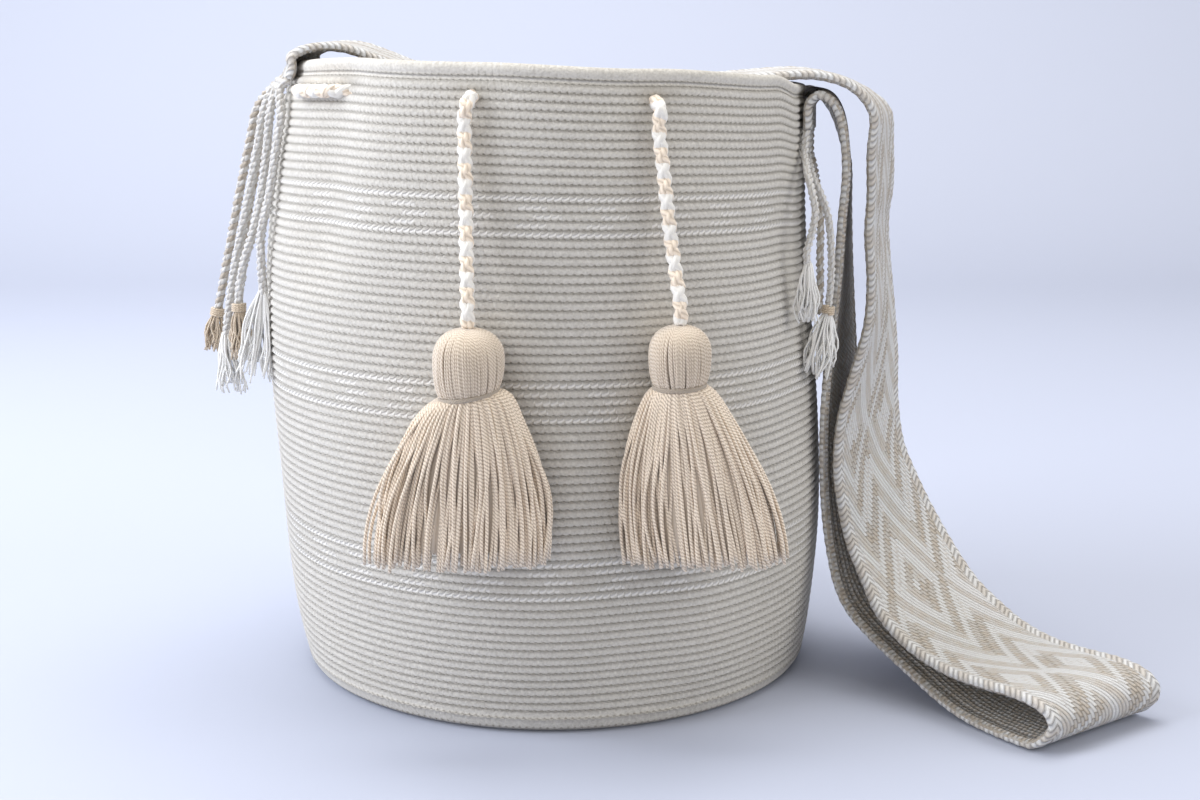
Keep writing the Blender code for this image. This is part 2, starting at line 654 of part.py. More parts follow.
def make_tuft(name, path, radius, collection, materials):
    length, half_width, half_depth, run, yarn = TUFTS[name]
    along = (Vector(path[-2]) - Vector(path[-1])).normalized()
    slope = math.sqrt(1.0 - along.z ** 2)
    top = Vector(path[-1]) - Vector((0.0, 0.0, radius * slope + TOUCH_GAP))
    rings = []
    count = 12
    for number, (share, size) in enumerate(TUFT_OUTLINE):
        centre = top + Vector((run * share, 0.0, -length * share))
        wide = radius + (half_width - radius) * size
        deep = radius + (half_depth - radius) * size
        centre = clear_of_wall(centre, max(wide, deep) * 1.2)
        flute = 0.0 if number == 0 else 0.16
        rings.append([centre + Vector(((wide * (1 + flute * (-1) ** i)) * math.cos(2 * math.pi * i / count),
                                       (deep * (1 + flute * (-1) ** i)) * math.sin(2 * math.pi * i / count),
                                       0.0)) for i in range(count)])
    loft(f"fringe_tuft_{name}", rings, collection, materials[yarn])
    if name in TIED:
        middle = Vector(path[-1]).lerp(Vector(path[-2]), 0.35)
        bpy.ops.mesh.primitive_torus_add(major_segments=10, minor_segments=5, location=middle,
                                         rotation=along.to_track_quat("Z", "Y").to_euler(),
                                         major_radius=radius + FRINGE_TIE_RADIUS + TOUCH_GAP,
                                         minor_radius=FRINGE_TIE_RADIUS)
        tie = bpy.context.object
        tie.name = f"fringe_tie_{name}"
        tie.data.materials.append(materials["tan_thread"])
        for other in list(tie.users_collection):
            other.objects.unlink(tie)
        collection.objects.link(tie)


def main():
    clear_scene()
    parts = make_collection("crocheted_bag")
    cutters = make_collection("cutters")
    cutters.hide_render = True
    materials = {name: make_material(name) for name in COLOURS}

    body = make_body(parts, materials["cream_cotton"])
    route = drawstring_route()
    cut_eyelets(body, route, cutters)
    cord("drawstring", route, CORD_RADIUS, parts, materials["beige_yarn"])
    for side in ("left", "right"):
        make_tassel(side, parts, materials["beige_yarn"])

    rings, stations = strap_rings()
    loft("shoulder_strap", rings, parts, materials["cream_yarn"])
    for name in FRINGE_ROUTES:
        left = name.startswith("left")
        end, before = (stations[-1], stations[-2]) if left else (stations[0], stations[1])
        radius = LEFT_FRINGE_RADIUS if left else RIGHT_FRINGE_RADIUS
        make_fringe(name, end, before, radius, parts, materials)


main()
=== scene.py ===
"""Dress the crocheted drawstring bag: crochet, braided cord, tassels, woven strap, fringe and a studio.

Lengths are metres and angles are degrees from the front (-Y), positive towards +X.
"""

import math
import random
from collections import namedtuple
from functools import partialmethod

import bpy
import numpy as np
from bpy.props import FloatProperty, FloatVectorProperty, IntProperty, PointerProperty
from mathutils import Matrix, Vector


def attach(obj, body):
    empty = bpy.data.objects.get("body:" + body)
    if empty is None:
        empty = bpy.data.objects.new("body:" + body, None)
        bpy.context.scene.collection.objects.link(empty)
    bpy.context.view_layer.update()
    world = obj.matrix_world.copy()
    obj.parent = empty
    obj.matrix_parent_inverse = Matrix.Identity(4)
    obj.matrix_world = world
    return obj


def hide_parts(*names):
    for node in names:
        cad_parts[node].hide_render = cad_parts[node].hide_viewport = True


bl_info = {
    "name": "Crocheted Bag Dresser",
    "version": (1, 0, 0),
    "blender": (4, 5, 0),
    "location": "View3D > Sidebar > Bag",
    "description": "Builds the crochet, cords, tassels, strap and studio around the packed bag",
    "category": "Object",
}

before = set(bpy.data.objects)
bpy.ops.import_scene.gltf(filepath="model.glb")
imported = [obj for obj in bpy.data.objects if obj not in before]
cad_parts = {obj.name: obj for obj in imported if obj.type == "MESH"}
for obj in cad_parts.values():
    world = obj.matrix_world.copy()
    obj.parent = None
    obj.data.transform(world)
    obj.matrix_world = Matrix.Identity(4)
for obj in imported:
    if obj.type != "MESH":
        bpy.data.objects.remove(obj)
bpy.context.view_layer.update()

# Shape of the wall, as the solids have it
BAG_HEIGHT = 0.300
BASE_RADIUS = 0.1265
BELLY_RADIUS = 0.1368
MOUTH_RADIUS = 0.1225
BELLY_SHARE = 0.35
WALL = 0.0045
FLOOR_THICKNESS = 0.0060
BASE_CORNER = 0.0080
RIM_THICKNESS = 0.0056
ROW_COUNT = 78
ROW_PITCH = BAG_HEIGHT / ROW_COUNT
BASE_ROWS = 2
RIM_ROWS = 2
BAND_FIRST_ROWS = (17, 38, 59)
SIDE_LEAN = 0.007
RIM_RISE = ((-180, -0.008), (-135, -0.004), (-90, -0.001), (-47, 0.002), (-15, 0.001),
            (22, -0.002), (58, -0.006), (72, -0.011), (90, -0.012), (108, -0.012), (140, -0.010),
            (180, -0.008))
FOLDS = ((-48, 9, 0.0050, 0.62, 1.20), (-64, 14, 0.0028, 0.70, 1.20), (16, 11, 0.0024, -0.05, 0.42),
         (34, 9, -0.0012, -0.02, 0.45), (-15, 9, 0.0018, 0.80, 1.15), (23, 9, 0.0018, 0.80, 1.15),
         (62, 12, 0.0020, 0.30, 0.85), (-100, 16, 0.0020, 0.15, 0.60), (150, 14, 0.0026, 0.35, 1.10),
         (-88, 28, -0.0055, 0.72, 1.06))
TOUCH_GAP = 0.0003

# Drawstring and tassels, as the solids have them
CORD_RADIUS = 0.00325
CORD_GAP = 0.0014
EYELET_DROP = 0.0145
LEFT_EYELET = -14
RIGHT_EYELET = 23
EYELET_ANGLES = (-48, -68, -168, 168)
PASSAGE_REACH = 4.6
CORD_HANG = 0.094
NECK_SHARE = 0.76
FLARE = 2.1
Tassel = namedtuple(
    "Tassel", "angle head_radius head_height skirt half_width half_depth run shoulder tilt seed")
TASSELS = {
    "left": Tassel(-9.8, 0.0155, 0.0293, 0.0735, 0.0385, 0.0150, -0.005, 0.22, 0.17, 5),
    "right": Tassel(24.9, 0.0138, 0.0274, 0.0780, 0.0352, 0.0145, 0.011, 0.14, 0.05, 8),
}

# Strap, as the solid has it
STRAP_WIDTH = 0.076
BAND_THICKNESS = 0.0038
SELVAGE_THICKNESS = 0.0045
SELVAGE_WIDTH = 0.0060
SEAM_HEIGHT = 0.012
SEWN_GAP = 0.0008
RIGHT_SEAM_DROP = 0.0205
LEFT_SEAM_DROP = 0.0080
LEFT_FRINGE_RADIUS = 0.0025
RIGHT_FRINGE_RADIUS = 0.0021

# Fine detail that the solids don't have
STRAND_REACH = 0.00122
STRAND_RADIUS = 0.00206
BRAID_CORE_RADIUS = 0.0020
PLY_REACH_SHARE = 0.46
PLY_RADIUS_SHARE = 0.56
STITCH_SHIFT = 0.37
STRAP_FACE_DEPTH = 0.0011
STRAP_BACK_DEPTH = 0.0009
RIB_WIDTH = 0.0030
RIB_STITCH = 0.0024
PLAIT_LOBE = 0.0060
HEAD_YARN_SPACING = 1.52
YARN_SIDES = 5
TIE_TURNS = 3
TIE_RADIUS = 0.0006
CORD_TWIST = 0.0062
FRAY_YARNS = 46
FRAY_RADIUS = 0.00046
SKIRT_LAYERS = ((1.0, 128), (0.92, 96), (0.80, 60))
HEAD_OUTLINE = ((0.0, 0.12), (0.05, 0.50), (0.14, 0.78), (0.30, 0.96), (0.50, 1.0), (0.72, 0.97),
                (0.90, 0.88), (0.99, 0.74))
HEAD_CORE_OUTLINE = ((0.02, 0.10), (0.06, 0.48), (0.15, 0.76), (0.30, 0.93), (0.50, 0.97), (0.72, 0.94),
                     (0.90, 0.84), (1.0, 0.70), (1.10, 0.62), (1.4, 0.50))


def smooth_step(low, high, value):
    share = np.clip((value - low) / (high - low), 0.0, 1.0)
    return share * share * (3.0 - 2.0 * share)


def angle_between(first, second):
    return (first - second + 180.0) % 360.0 - 180.0


def wall_radius(height):
    """Radius of the crests of the outer wall, before the folds."""
    share = np.asarray(height) / BAG_HEIGHT
    low = np.clip(1.0 - share / BELLY_SHARE, 0.0, None)
    high = np.clip((share - BELLY_SHARE) / (1.0 - BELLY_SHARE), 0.0, None)
    narrowed = BELLY_RADIUS - (BELLY_RADIUS - BASE_RADIUS) * low ** 2.6
    return narrowed - (BELLY_RADIUS - MOUTH_RADIUS) * high ** 2.5


def lean(height):
    share = np.clip(np.asarray(height) / BAG_HEIGHT, 0.0, 1.0)
    return -SIDE_LEAN * np.sin(math.pi * share ** 1.7)


def fold_offset(angle, height):
    """Outward shift of the wall where the soft cotton folds."""
    share = np.asarray(height) / BAG_HEIGHT
    offset = 0.0010 * np.sin(np.radians(3 * angle + 500 * share)) * np.minimum(share / 0.15, 1.0)
    for centre, half_width, depth, low, high in FOLDS:
        across = np.exp(-(angle_between(angle, centre) / half_width) ** 2)
        along = smooth_step(low, low + 0.14, share) * (1.0 - smooth_step(high - 0.14, high, share))
        offset = offset - depth * across * along
    return offset * smooth_step(0.0, 0.10, share)


def rim_rise(angle):
    wrapped = angle_between(np.asarray(angle, dtype=float), 0.0)
    rise = np.full(wrapped.shape, RIM_RISE[0][1])
    for (left, low), (right, high) in zip(RIM_RISE, RIM_RISE[1:]):
        inside = (wrapped >= left) & (wrapped <= right)
        rise = np.where(inside, low + (high - low) * smooth_step(left, right, wrapped), rise)
    return rise


def on_wall(angle, height, out=0.0):
    """Points at an angle and a row level, at a distance outside the wall's crests."""
    angle, height = np.asarray(angle, dtype=float), np.asarray(height, dtype=float)
    radius = wall_radius(height) + fold_offset(angle, height) + out
    turn = np.radians(angle)
    rise = rim_rise(angle) * np.clip(height / BAG_HEIGHT, 0.0, None) ** 3
    return np.stack([lean(height) + radius * np.sin(turn), -radius * np.cos(turn), height + rise], axis=-1)


def level_under_rise(angle, z):
    level = z
    for _ in range(6):
        level = z - rim_rise(angle) * np.clip(level / BAG_HEIGHT, 0.0, None) ** 3
    return level


def wall_distance(points):
    """How far points are outside the wall's crests, negative inside."""
    points = np.asarray(points, dtype=float)
    x, y, z = points[..., 0], points[..., 1], points[..., 2]
    angle = np.degrees(np.arctan2(x - lean(z), -y))
    level = level_under_rise(angle, z)
    return np.hypot(x - lean(level), y) - wall_radius(level) - fold_offset(angle, level)


def clear_of_wall(points, radius):
    """The points, moved out where they would press into the wall."""
    points = np.asarray(points, dtype=float)
    missing = np.clip(radius + 2 * TOUCH_GAP - wall_distance(points), 0.0, None)
    outward = points * [1.0, 1.0, 0.0] - np.stack([lean(points[..., 2])] + [0 * points[..., 2]] * 2, axis=-1)
    outward /= np.linalg.norm(outward, axis=-1, keepdims=True)
    return points + outward * missing[..., None]


def side_x(side, y, z, out):
    """X of a point beside the wall at the given depth and height."""
    x = side * MOUTH_RADIUS
    for _ in range(8):
        angle = math.degrees(math.atan2(x, -y))
        level = level_under_rise(angle, z)
        radius = wall_radius(level) + fold_offset(angle, level) + out
        x = lean(level) + side * math.sqrt(radius * radius - y * y)
    return float(x)


def smooth_through(points, spacing):
    """Catmull-Rom curve through the points, a point every spacing or less."""
    rows = [np.array(point, dtype=float) for point in points]
    rows = [2 * rows[0] - rows[1], *rows, 2 * rows[-1] - rows[-2]]
    result = []
    for first, start, end, last in zip(rows, rows[1:], rows[2:], rows[3:]):
        steps = max(1, round(float(np.linalg.norm((end - start)[:3])) / spacing))
        for step in range(steps):
            t = step / steps
            result.append(0.5 * (2 * start + (end - first) * t
                                 + (2 * first - 5 * start + 4 * end - last) * t ** 2
                                 + (3 * start - first - 3 * end + last) * t ** 3))
    result.append(rows[-2])
    return np.array(result)


def lengths_along(path):
    steps = np.linalg.norm(np.diff(path, axis=0), axis=1)
    return np.concatenate([[0.0], np.cumsum(steps)])


def carried_frames(path):
    """Two directions across a path at each point, carried along it without twist."""
    tangents = np.gradient(path, axis=0)
    tangents /= np.linalg.norm(tangents, axis=1)[:, None]
    start = np.eye(3)[np.argmin(np.abs(tangents[0]))]
    side = np.cross(tangents[0], start)
    sides = []
    for tangent in tangents:
        side = side - tangent * side.dot(tangent)
        side /= np.linalg.norm(side)
        sides.append(side)
    sides = np.array(sides)
    return sides, np.cross(tangents, sides)


def tube_grid(path, radii, sides, shift=0.0):
    """Ring points of a tube and their map: turns around, metres along, shifted along."""
    across, over = carried_frames(path)
    turn = np.linspace(0.0, 2 * math.pi, sides, endpoint=False)
    radii = np.broadcast_to(radii, len(path))[:, None, None]
    ring = across[:, None] * np.cos(turn)[None, :, None] + over[:, None] * np.sin(turn)[None, :, None]
    points = path[:, None] + radii * ring
    along = np.repeat(lengths_along(path)[:, None] + shift, sides + 1, axis=1)
    around = np.repeat(np.linspace(0.0, 1.0, sides + 1)[None], len(path), axis=0)
    return points, np.stack([around, along], axis=-1)


def grid_piece(name, grids, materials, around=True, slots=None):
    """One mesh from grids of ring points with their maps; slots gives each grid's material number."""
    corners, faces, maps, indices = [], [], [], []
    offset = 0
    for number, (points, uvs) in enumerate(grids):
        rings, columns = points.shape[:2]
        last = columns if around else columns - 1
        i, j = np.meshgrid(np.arange(rings - 1), np.arange(last), indexing="ij")
        i, j = i.ravel(), j.ravel()
        k = (j + 1) % columns
        here, next_ring = i * columns, (i + 1) * columns
        faces.append(np.stack([here + j, here + k, next_ring + k, next_ring + j], axis=1) + offset)
        maps.append(np.stack([uvs[i, j], uvs[i, j + 1], uvs[i + 1, j + 1], uvs[i + 1, j]], axis=1))
        slot = slots[number] if slots is not None else 0
        indices.append(np.full(len(i), slot) if np.isscalar(slot) else slot[i, j])
        corners.append(points.reshape(-1, 3))
        offset += rings * columns
    faces, maps = np.concatenate(faces), np.concatenate(maps)
    mesh = bpy.data.meshes.new(name)
    ends = []
    if around:
        start = 0
        for points, _ in grids:
            rings, columns = points.shape[:2]
            ends.append(list(range(start + columns - 1, start - 1, -1)))
            ends.append(list(range(start + (rings - 1) * columns, start + rings * columns)))
            start += rings * columns
    mesh.from_pydata(np.concatenate(corners), [], faces.tolist() + ends)
    layer = mesh.uv_layers.new(name="map")
    flat = np.zeros((len(mesh.loops), 2), np.float32)
    flat[:maps.shape[0] * 4] = maps.reshape(-1, 2)
    layer.data.foreach_set("uv", flat.ravel())
    numbers = np.zeros(len(mesh.polygons), np.int32)
    numbers[:len(faces)] = np.concatenate(indices)
    mesh.polygons.foreach_set("material_index", numbers)
    mesh.polygons.foreach_set("use_smooth", np.ones(len(mesh.polygons), bool))
    for material in materials:
        mesh.materials.append(material)
    mesh.validate()
    mesh.update()
    piece = bpy.data.objects.new(name, mesh)
    bpy.context.scene.collection.objects.link(piece)
    return piece


class Value:
    """A node's output that reads like a number in an expression."""

    def __init__(self, finish, socket):
        self.finish = finish
        self.socket = socket

    def math(self, operation, *others):
        return self.finish.add("ShaderNodeMath", {"operation": operation}, dict(enumerate((self, *others))))

    def __rsub__(self, other):
        return self.finish.add("ShaderNodeMath", {"operation": "SUBTRACT"}, {0: other, 1: self})

    __add__ = __radd__ = partialmethod(math, "ADD")
    __sub__ = partialmethod(math, "SUBTRACT")
    __mul__ = __rmul__ = partialmethod(math, "MULTIPLY")
    __truediv__ = partialmethod(math, "DIVIDE")
    __pow__ = partialmethod(math, "POWER")
    __gt__ = partialmethod(math, "GREATER_THAN")
    __lt__ = partialmethod(math, "LESS_THAN")
    abs = partialmethod(math, "ABSOLUTE")
    floor = partialmethod(math, "FLOOR")
    fraction = partialmethod(math, "FRACT")
    least = partialmethod(math, "MINIMUM")

    def crown(self, power):
        """For a fraction: 0 at both ends, 1 in the middle, flatter on top with a higher power."""
        return 1.0 - (self * 2.0 - 1.0).abs() ** power

    def step(self, low, high):
        """Smooth rise from 0 at low to 1 at high."""
        return self.finish.add("ShaderNodeMapRange", {"interpolation_type": "SMOOTHSTEP"},
                               {0: self, 1: low, 2: high, 3: 0.0, 4: 1.0})


class Finish:
    """A material being built: its nodes, and the one way to add a node."""

    def __init__(self, name, roughness, sheen=0.0, specular=0.25):
        self.material = bpy.data.materials.new(name)
        self.material.use_nodes = True
        self.tree = self.material.node_tree
        self.shader = self.tree.nodes["Principled BSDF"]
        for socket, value in (("Roughness", roughness), ("Specular IOR Level", specular),
                              ("Sheen Weight", sheen), ("Sheen Roughness", 0.5)):
            self.shader.inputs[socket].default_value = value

    def link(self, value, socket):
        if isinstance(value, Value):
            self.tree.links.new(value.socket, socket)
        else:
            socket.default_value = value

    def add(self, kind, settings=None, sockets=None, output=0):
        node = self.tree.nodes.new(kind)
        for name, value in (settings or {}).items():
            setattr(node, name, value)
        for key, value in (sockets or {}).items():
            self.link(value, node.inputs[key])
        return Value(self, node.outputs[output])

    def parts(self, vector):
        """The first two numbers of a vector."""
        return [self.add("ShaderNodeSeparateXYZ", None, {0: vector}, output) for output in (0, 1)]

    def mapped(self):
        """The two numbers of the piece's own map."""
        return self.parts(self.add("ShaderNodeUVMap", {"uv_map": "map"}))

    def place(self):
        """The point in the piece's own coordinates."""
        return self.add("ShaderNodeTexCoord", None, None, 3)

    def noise(self, scale, detail):
        sockets = {"Scale": scale, "Detail": detail, "Vector": self.place()}
        return self.add("ShaderNodeTexNoise", None, sockets)

    def mix(self, factor, first, second):
        """Between two colours, each a plain one or another mix."""
        first, second = (colour if isinstance(colour, Value) else rgba(colour) for colour in (first, second))
        return self.add("ShaderNodeMix", {"data_type": "RGBA"}, {0: factor, 6: first, 7: second}, 2)

    def done(self, colour, height=None, depth=0.0):
        """The material, with its colour and a relief of the height times the depth in metres."""
        self.link(colour, self.shader.inputs["Base Color"])
        if height:
            normal = self.add("ShaderNodeBump", None, {"Height": height, "Distance": depth, "Strength": 1.0})
            self.link(normal, self.shader.inputs["Normal"])
        return self.material


def rgba(colour):
    return (*colour, 1.0)


def darker(colour, factor):
    return tuple(factor * part for part in colour)


def crochet_finish(sizes):
    """Single crochet in the round: rows of small stitches, with three patterned bands."""
    finish = Finish("crocheted_cotton", 0.95, 0.15)
    around, row = finish.mapped()
    wobble = finish.noise(55.0, 2.0) - 0.5
    number = row.floor()
    shifted = around + number * STITCH_SHIFT
    dash = shifted.fraction()
    level = (row + wobble * 0.14 + dash.crown(2.0) * 0.10).fraction()
    stitch = (shifted + level * 0.25 + wobble * 0.3).fraction()
    crown = level.crown(2.2)
    loop = stitch.crown(2.4)
    beside = stitch.least(1.0 - stitch)
    above = (level - 0.07).abs()
    # Painted shade in the hole between stitches; the relief is pressed in there too.
    dot = 1.0 - ((beside * beside + above * above * 1.7) ** 0.5).step(0.05, 0.30)
    # Painted shade along the groove between two rows.
    groove_shade = 1.0 - level.least(1.0 - level).step(0.0, 0.34)
    fibres = finish.noise(950.0, 3.0)
    clumps = finish.noise(420.0, 2.0)
    band = line = picks = 0.0
    for first in BAND_FIRST_ROWS:
        inside = (number > first + 0.5) * (number < first + 3.5)
        band = inside + band
        lower_line = (number > first - 0.5) * (number < first + 0.5)
        upper_line = (number > first + 3.5) * (number < first + 4.5)
        line = lower_line + upper_line + line
        turned = (number - first - 2.0).abs()
        picks = ((around / 9.0 + turned * 0.22 + wobble * 0.10).fraction() < 0.42) * inside + picks
    height_in_dash = (level - 0.50 - (dash - 0.5) * 0.34).abs()
    dashes = (1.0 - height_in_dash.step(0.06, 0.28)) * (1.0 - (dash * 2.0 - 1.0).abs().step(0.82, 1.15))
    shade = 0.0
    for angle in (*EYELET_ANGLES, LEFT_EYELET, RIGHT_EYELET):
        beside_eyelet = (around - (angle + 180.0) / 360.0 * sizes.stitches) / 4.5
        above_eyelet = row - (BAG_HEIGHT - EYELET_DROP) / ROW_PITCH - 0.9
        reach = (beside_eyelet * beside_eyelet + above_eyelet * above_eyelet) ** 0.5
        shade = 1.0 - reach.step(0.2, 1.3) + shade
    patches = finish.noise(9.0, 2.0).step(0.3, 0.7)
    colour = finish.mix(patches * 0.6, sizes.cotton, darker(sizes.cotton, 0.95))
    # Clump and fibre flecks, then painted shade in the row grooves and stitch holes, all in the dark cotton
    # colour.
    for factor in (clumps.step(0.30, 0.70) * 0.16, groove_shade * 0.33 + dot * 0.44,
                   fibres.step(0.35, 0.75) * 0.30):
        colour = finish.mix(factor, colour, sizes.groove_shade)
    colour = finish.mix(line * dashes * 0.90 + picks * dashes * 0.72, colour, sizes.bright)
    colour = finish.mix(shade * 0.40, colour, sizes.groove_shade)
    height = crown * 0.62 + loop * crown * 0.07 - dot * 0.30 + fibres * 0.26 + clumps * 0.30
    height = height + line * dashes * 0.45 + picks * dashes * 0.30 - band * 0.10
    return finish.done(colour, height, sizes.stitch_depth)


def yarn_finish(name, colour, shadow, twist=0.0012, plies=2.0, contrast=0.62, relief=0.00020):
    """Twisted yarn: plies that wind around the tube, with fine fibres."""
    finish = Finish(name, 0.85, 0.45)
    around, along = finish.mapped()
    ply = (around * plies + along / twist).fraction().crown(2.0)
    fibres = finish.noise(2500.0, 2.0)
    patches = finish.noise(60.0, 1.0)
    tone = finish.mix(patches.step(0.3, 0.7) * 0.35, colour, darker(colour, 0.86))
    tone = finish.mix((1.0 - ply) * contrast, tone, shadow)
    tone = finish.mix(fibres.step(0.4, 0.7) * 0.10, tone, shadow)
    return finish.done(tone, ply * 0.8 + fibres * 0.2, relief)


def strap_face_finish(sizes):
    """Outer face of the band: nested long diamonds in slanted stitches between plaited edges."""
    finish = Finish("woven_band_face", 0.9, 0.1)
    across, along = finish.mapped()
    wobble = finish.noise(90.0, 2.0) - 0.5
    column = (across + along * sizes.stitch_slant) / sizes.stitch_width + wobble * 0.25
    place = along / sizes.stitch_length + column.floor() * 0.5
    side, way = column.fraction(), place.fraction()

    # Middle of this stitch, and where it lies in the mirrored diamonds
    centre_along = (place.floor() + 0.5 - column.floor() * 0.5) * sizes.stitch_length
    centre_across = (column.floor() + 0.5) * sizes.stitch_width - centre_along * sizes.stitch_slant
    turned = ((centre_across - sizes.diamond_centre) / (2.0 * sizes.diamond_width)).fraction()
    middle = turned.least(1.0 - turned) * 2.0 * sizes.diamond_width
    repeat = ((centre_along - sizes.diamond_place) / sizes.diamond_length + 0.5).fraction() - 0.5
    nest = (middle / sizes.stitch_slant + repeat.abs() * sizes.diamond_length) / sizes.stripe_length
    cream = ((nest + 0.5).fraction() * 2.0 - 1.0).abs() < sizes.cream_share
    threads_follow = 1.0 - ((turned < 0.5) - (repeat > 0.0)).abs()

    # A stripe that runs with the threads looks smooth, one across them shows its stitches
    sides = (side * 2.0 - 1.0).abs() ** 2.4
    ends = (way * 2.0 - 1.0).abs() ** 2.6
    stitch = (1.0 - sides) * (1.0 - ends * (1.0 - threads_follow * 0.8))
    # Painted shade between the stitches, weaker where the threads run smooth.
    stitch_shade = (sides * (0.62 - threads_follow * 0.22) + ends * (0.90 - threads_follow * 0.80)).step(0.25, 1.10)
    mixed = finish.noise(260.0, 1.0).step(0.44, 0.56)
    threads = (side * 3.0 + way).fraction()
    fibres = finish.noise(2200.0, 2.0)
    taupe = finish.mix(mixed * 0.45, sizes.taupe, darker(sizes.strap_cream, 0.86))
    taupe = finish.mix(threads_follow * 0.30, taupe, sizes.strap_cream)
    # Painted shade at the stitch borders: taupe darkens to the shadow colour, cream to taupe.
    taupe = finish.mix(stitch_shade * 0.90, taupe, sizes.taupe_shadow)
    pale = finish.mix(stitch_shade * 0.60, sizes.strap_cream, sizes.taupe)
    face = finish.mix(cream, taupe, pale)

    # Plaited edges
    edge_start = STRAP_WIDTH / 2 - SELVAGE_WIDTH
    outer = (across - STRAP_WIDTH / 2).abs()
    edge = 1.0 - outer.step(edge_start - 0.0008, edge_start)
    bend = (outer - STRAP_WIDTH / 2 + SELVAGE_WIDTH / 2).abs()
    plait = (along + bend * 0.9) / sizes.plait_pitch
    plait_crown = plait.fraction().crown(2.2)
    plait_tone = (plait.floor() / 4.6).fraction() > 0.52
    border = finish.mix(plait_tone * 0.55, darker(sizes.strap_cream, 0.98), sizes.taupe)
    # Painted shade between the plait lobes.
    border = finish.mix((1.0 - plait_crown) * 0.40, border, sizes.taupe_shadow)
    colour = finish.mix(edge, border, face)
    colour = finish.mix(fibres.step(0.4, 0.75) * 0.14, colour, sizes.taupe_shadow)
    height = (stitch * 0.75 + cream * 0.25 + threads * 0.12) * edge
    height = height + plait_crown * 0.8 * (1.0 - edge) + fibres * 0.12
    return finish.done(colour, height, STRAP_FACE_DEPTH)


def strap_back_finish(sizes):
    """Reverse of the band: close ribs across it, cream and taupe threads mixed."""
    finish = Finish("woven_band_back", 0.92, 0.1)
    across, along = finish.mapped()
    wobble = finish.noise(120.0, 2.0) - 0.5
    rib = across / RIB_WIDTH
    pick = (along / RIB_STITCH + rib.floor() * 0.5 + wobble * 0.4).fraction()
    crown = (rib + wobble * 0.5).fraction().crown(2.0) * pick.crown(2.0)
    mixed = finish.noise(420.0, 1.0).step(0.42, 0.58)
    tone = finish.mix(mixed, darker(sizes.strap_cream, 0.93), sizes.taupe)
    # Painted shade between the ribs and picks.
    tone = finish.mix((1.0 - crown) * 0.6, tone, sizes.taupe_shadow)
    return finish.done(tone, crown, STRAP_BACK_DEPTH)


def dress(piece, slot, *nodes):
    """The piece rides with the bag and stands for its solids, which are hidden; the slot is not used."""
    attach(piece, "root")
    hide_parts(*nodes)
    return piece


def crochet_grid(segments):
    """Rings of the bag from the inside of the base, over the rim and down to the underside."""
    inner_foot = float(wall_radius(FLOOR_THICKNESS)) - WALL
    stations = [(0.004, FLOOR_THICKNESS, -1)]
    for step in range(1, 12):
        stations.append(((inner_foot - BASE_CORNER) * step / 11, FLOOR_THICKNESS, -1 - step * 2.4))
    for turn in (30, 60, 90):
        lift = math.radians(turn)
        stations.append((inner_foot - BASE_CORNER * (1 - math.sin(lift)),
                         FLOOR_THICKNESS + BASE_CORNER * (1 - math.cos(lift)), -30 - turn / 30))
    low = FLOOR_THICKNESS + BASE_CORNER
    first_row = math.ceil(low / ROW_PITCH)
    for row in range(first_row, ROW_COUNT - RIM_ROWS):
        for part, depth in ((0.0, 0.0007), (0.5, 0.0)):
            level = (row + part) * ROW_PITCH
            stations.append((float(wall_radius(level)) - WALL + depth, level, row + part))
    rim_centre = BAG_HEIGHT - RIM_THICKNESS / 2
    rim_radius = float(wall_radius(rim_centre)) - RIM_THICKNESS / 2 + 0.0003
    for turn in (205, 180, 150, 120, 90, 60, 30, 0, -30, -50):
        angle = math.radians(turn)
        stations.append((rim_radius + RIM_THICKNESS / 2 * math.cos(angle),
                         rim_centre + RIM_THICKNESS / 2 * math.sin(angle), ROW_COUNT - 0.5 + turn / 240))
    for row in range(ROW_COUNT - RIM_ROWS, BASE_ROWS, -1):
        for part, depth in ((0.0, 0.0012), (0.25, 0.0002), (0.5, 0.0), (0.75, 0.0002)):
            level = (row - part) * ROW_PITCH
            stations.append((float(wall_radius(level)) - depth, level, row - part))
    corner_top = BASE_ROWS * ROW_PITCH
    corner_centre = float(wall_radius(corner_top)) - BASE_CORNER
    for turn in (0, 22, 45, 67, 90):
        angle = math.radians(turn)
        stations.append((corner_centre + BASE_CORNER * math.cos(angle), corner_top * (1 - math.sin(angle)),
                         BASE_ROWS - turn / 45))
    for step in range(1, 10):
        stations.append((corner_centre * (1 - step / 10) + 0.004 * step / 10, 0.0, -step * 2.4))
    stations = np.array(stations)
    angle = np.linspace(-180.0, 180.0, segments, endpoint=False)
    radius, level, row = (stations[:, i][:, None] for i in range(3))
    out = radius - wall_radius(level)
    moved = on_wall(angle[None, :], level, out)
    turn = np.radians(angle)[None, :]
    flat = np.stack(np.broadcast_arrays(radius * np.sin(turn), -radius * np.cos(turn), level), axis=-1)
    share = smooth_step(0.3, 0.85, radius / wall_radius(level))[..., None]
    share = np.where(level[..., None] < 0.0001, 0.0, share)
    points = flat + (moved - flat) * share
    stitches = np.linspace(0.0, 1.0, segments + 1)[None, :] * np.ones_like(radius)
    rows = row * np.ones((1, segments + 1))
    return points, stitches, rows


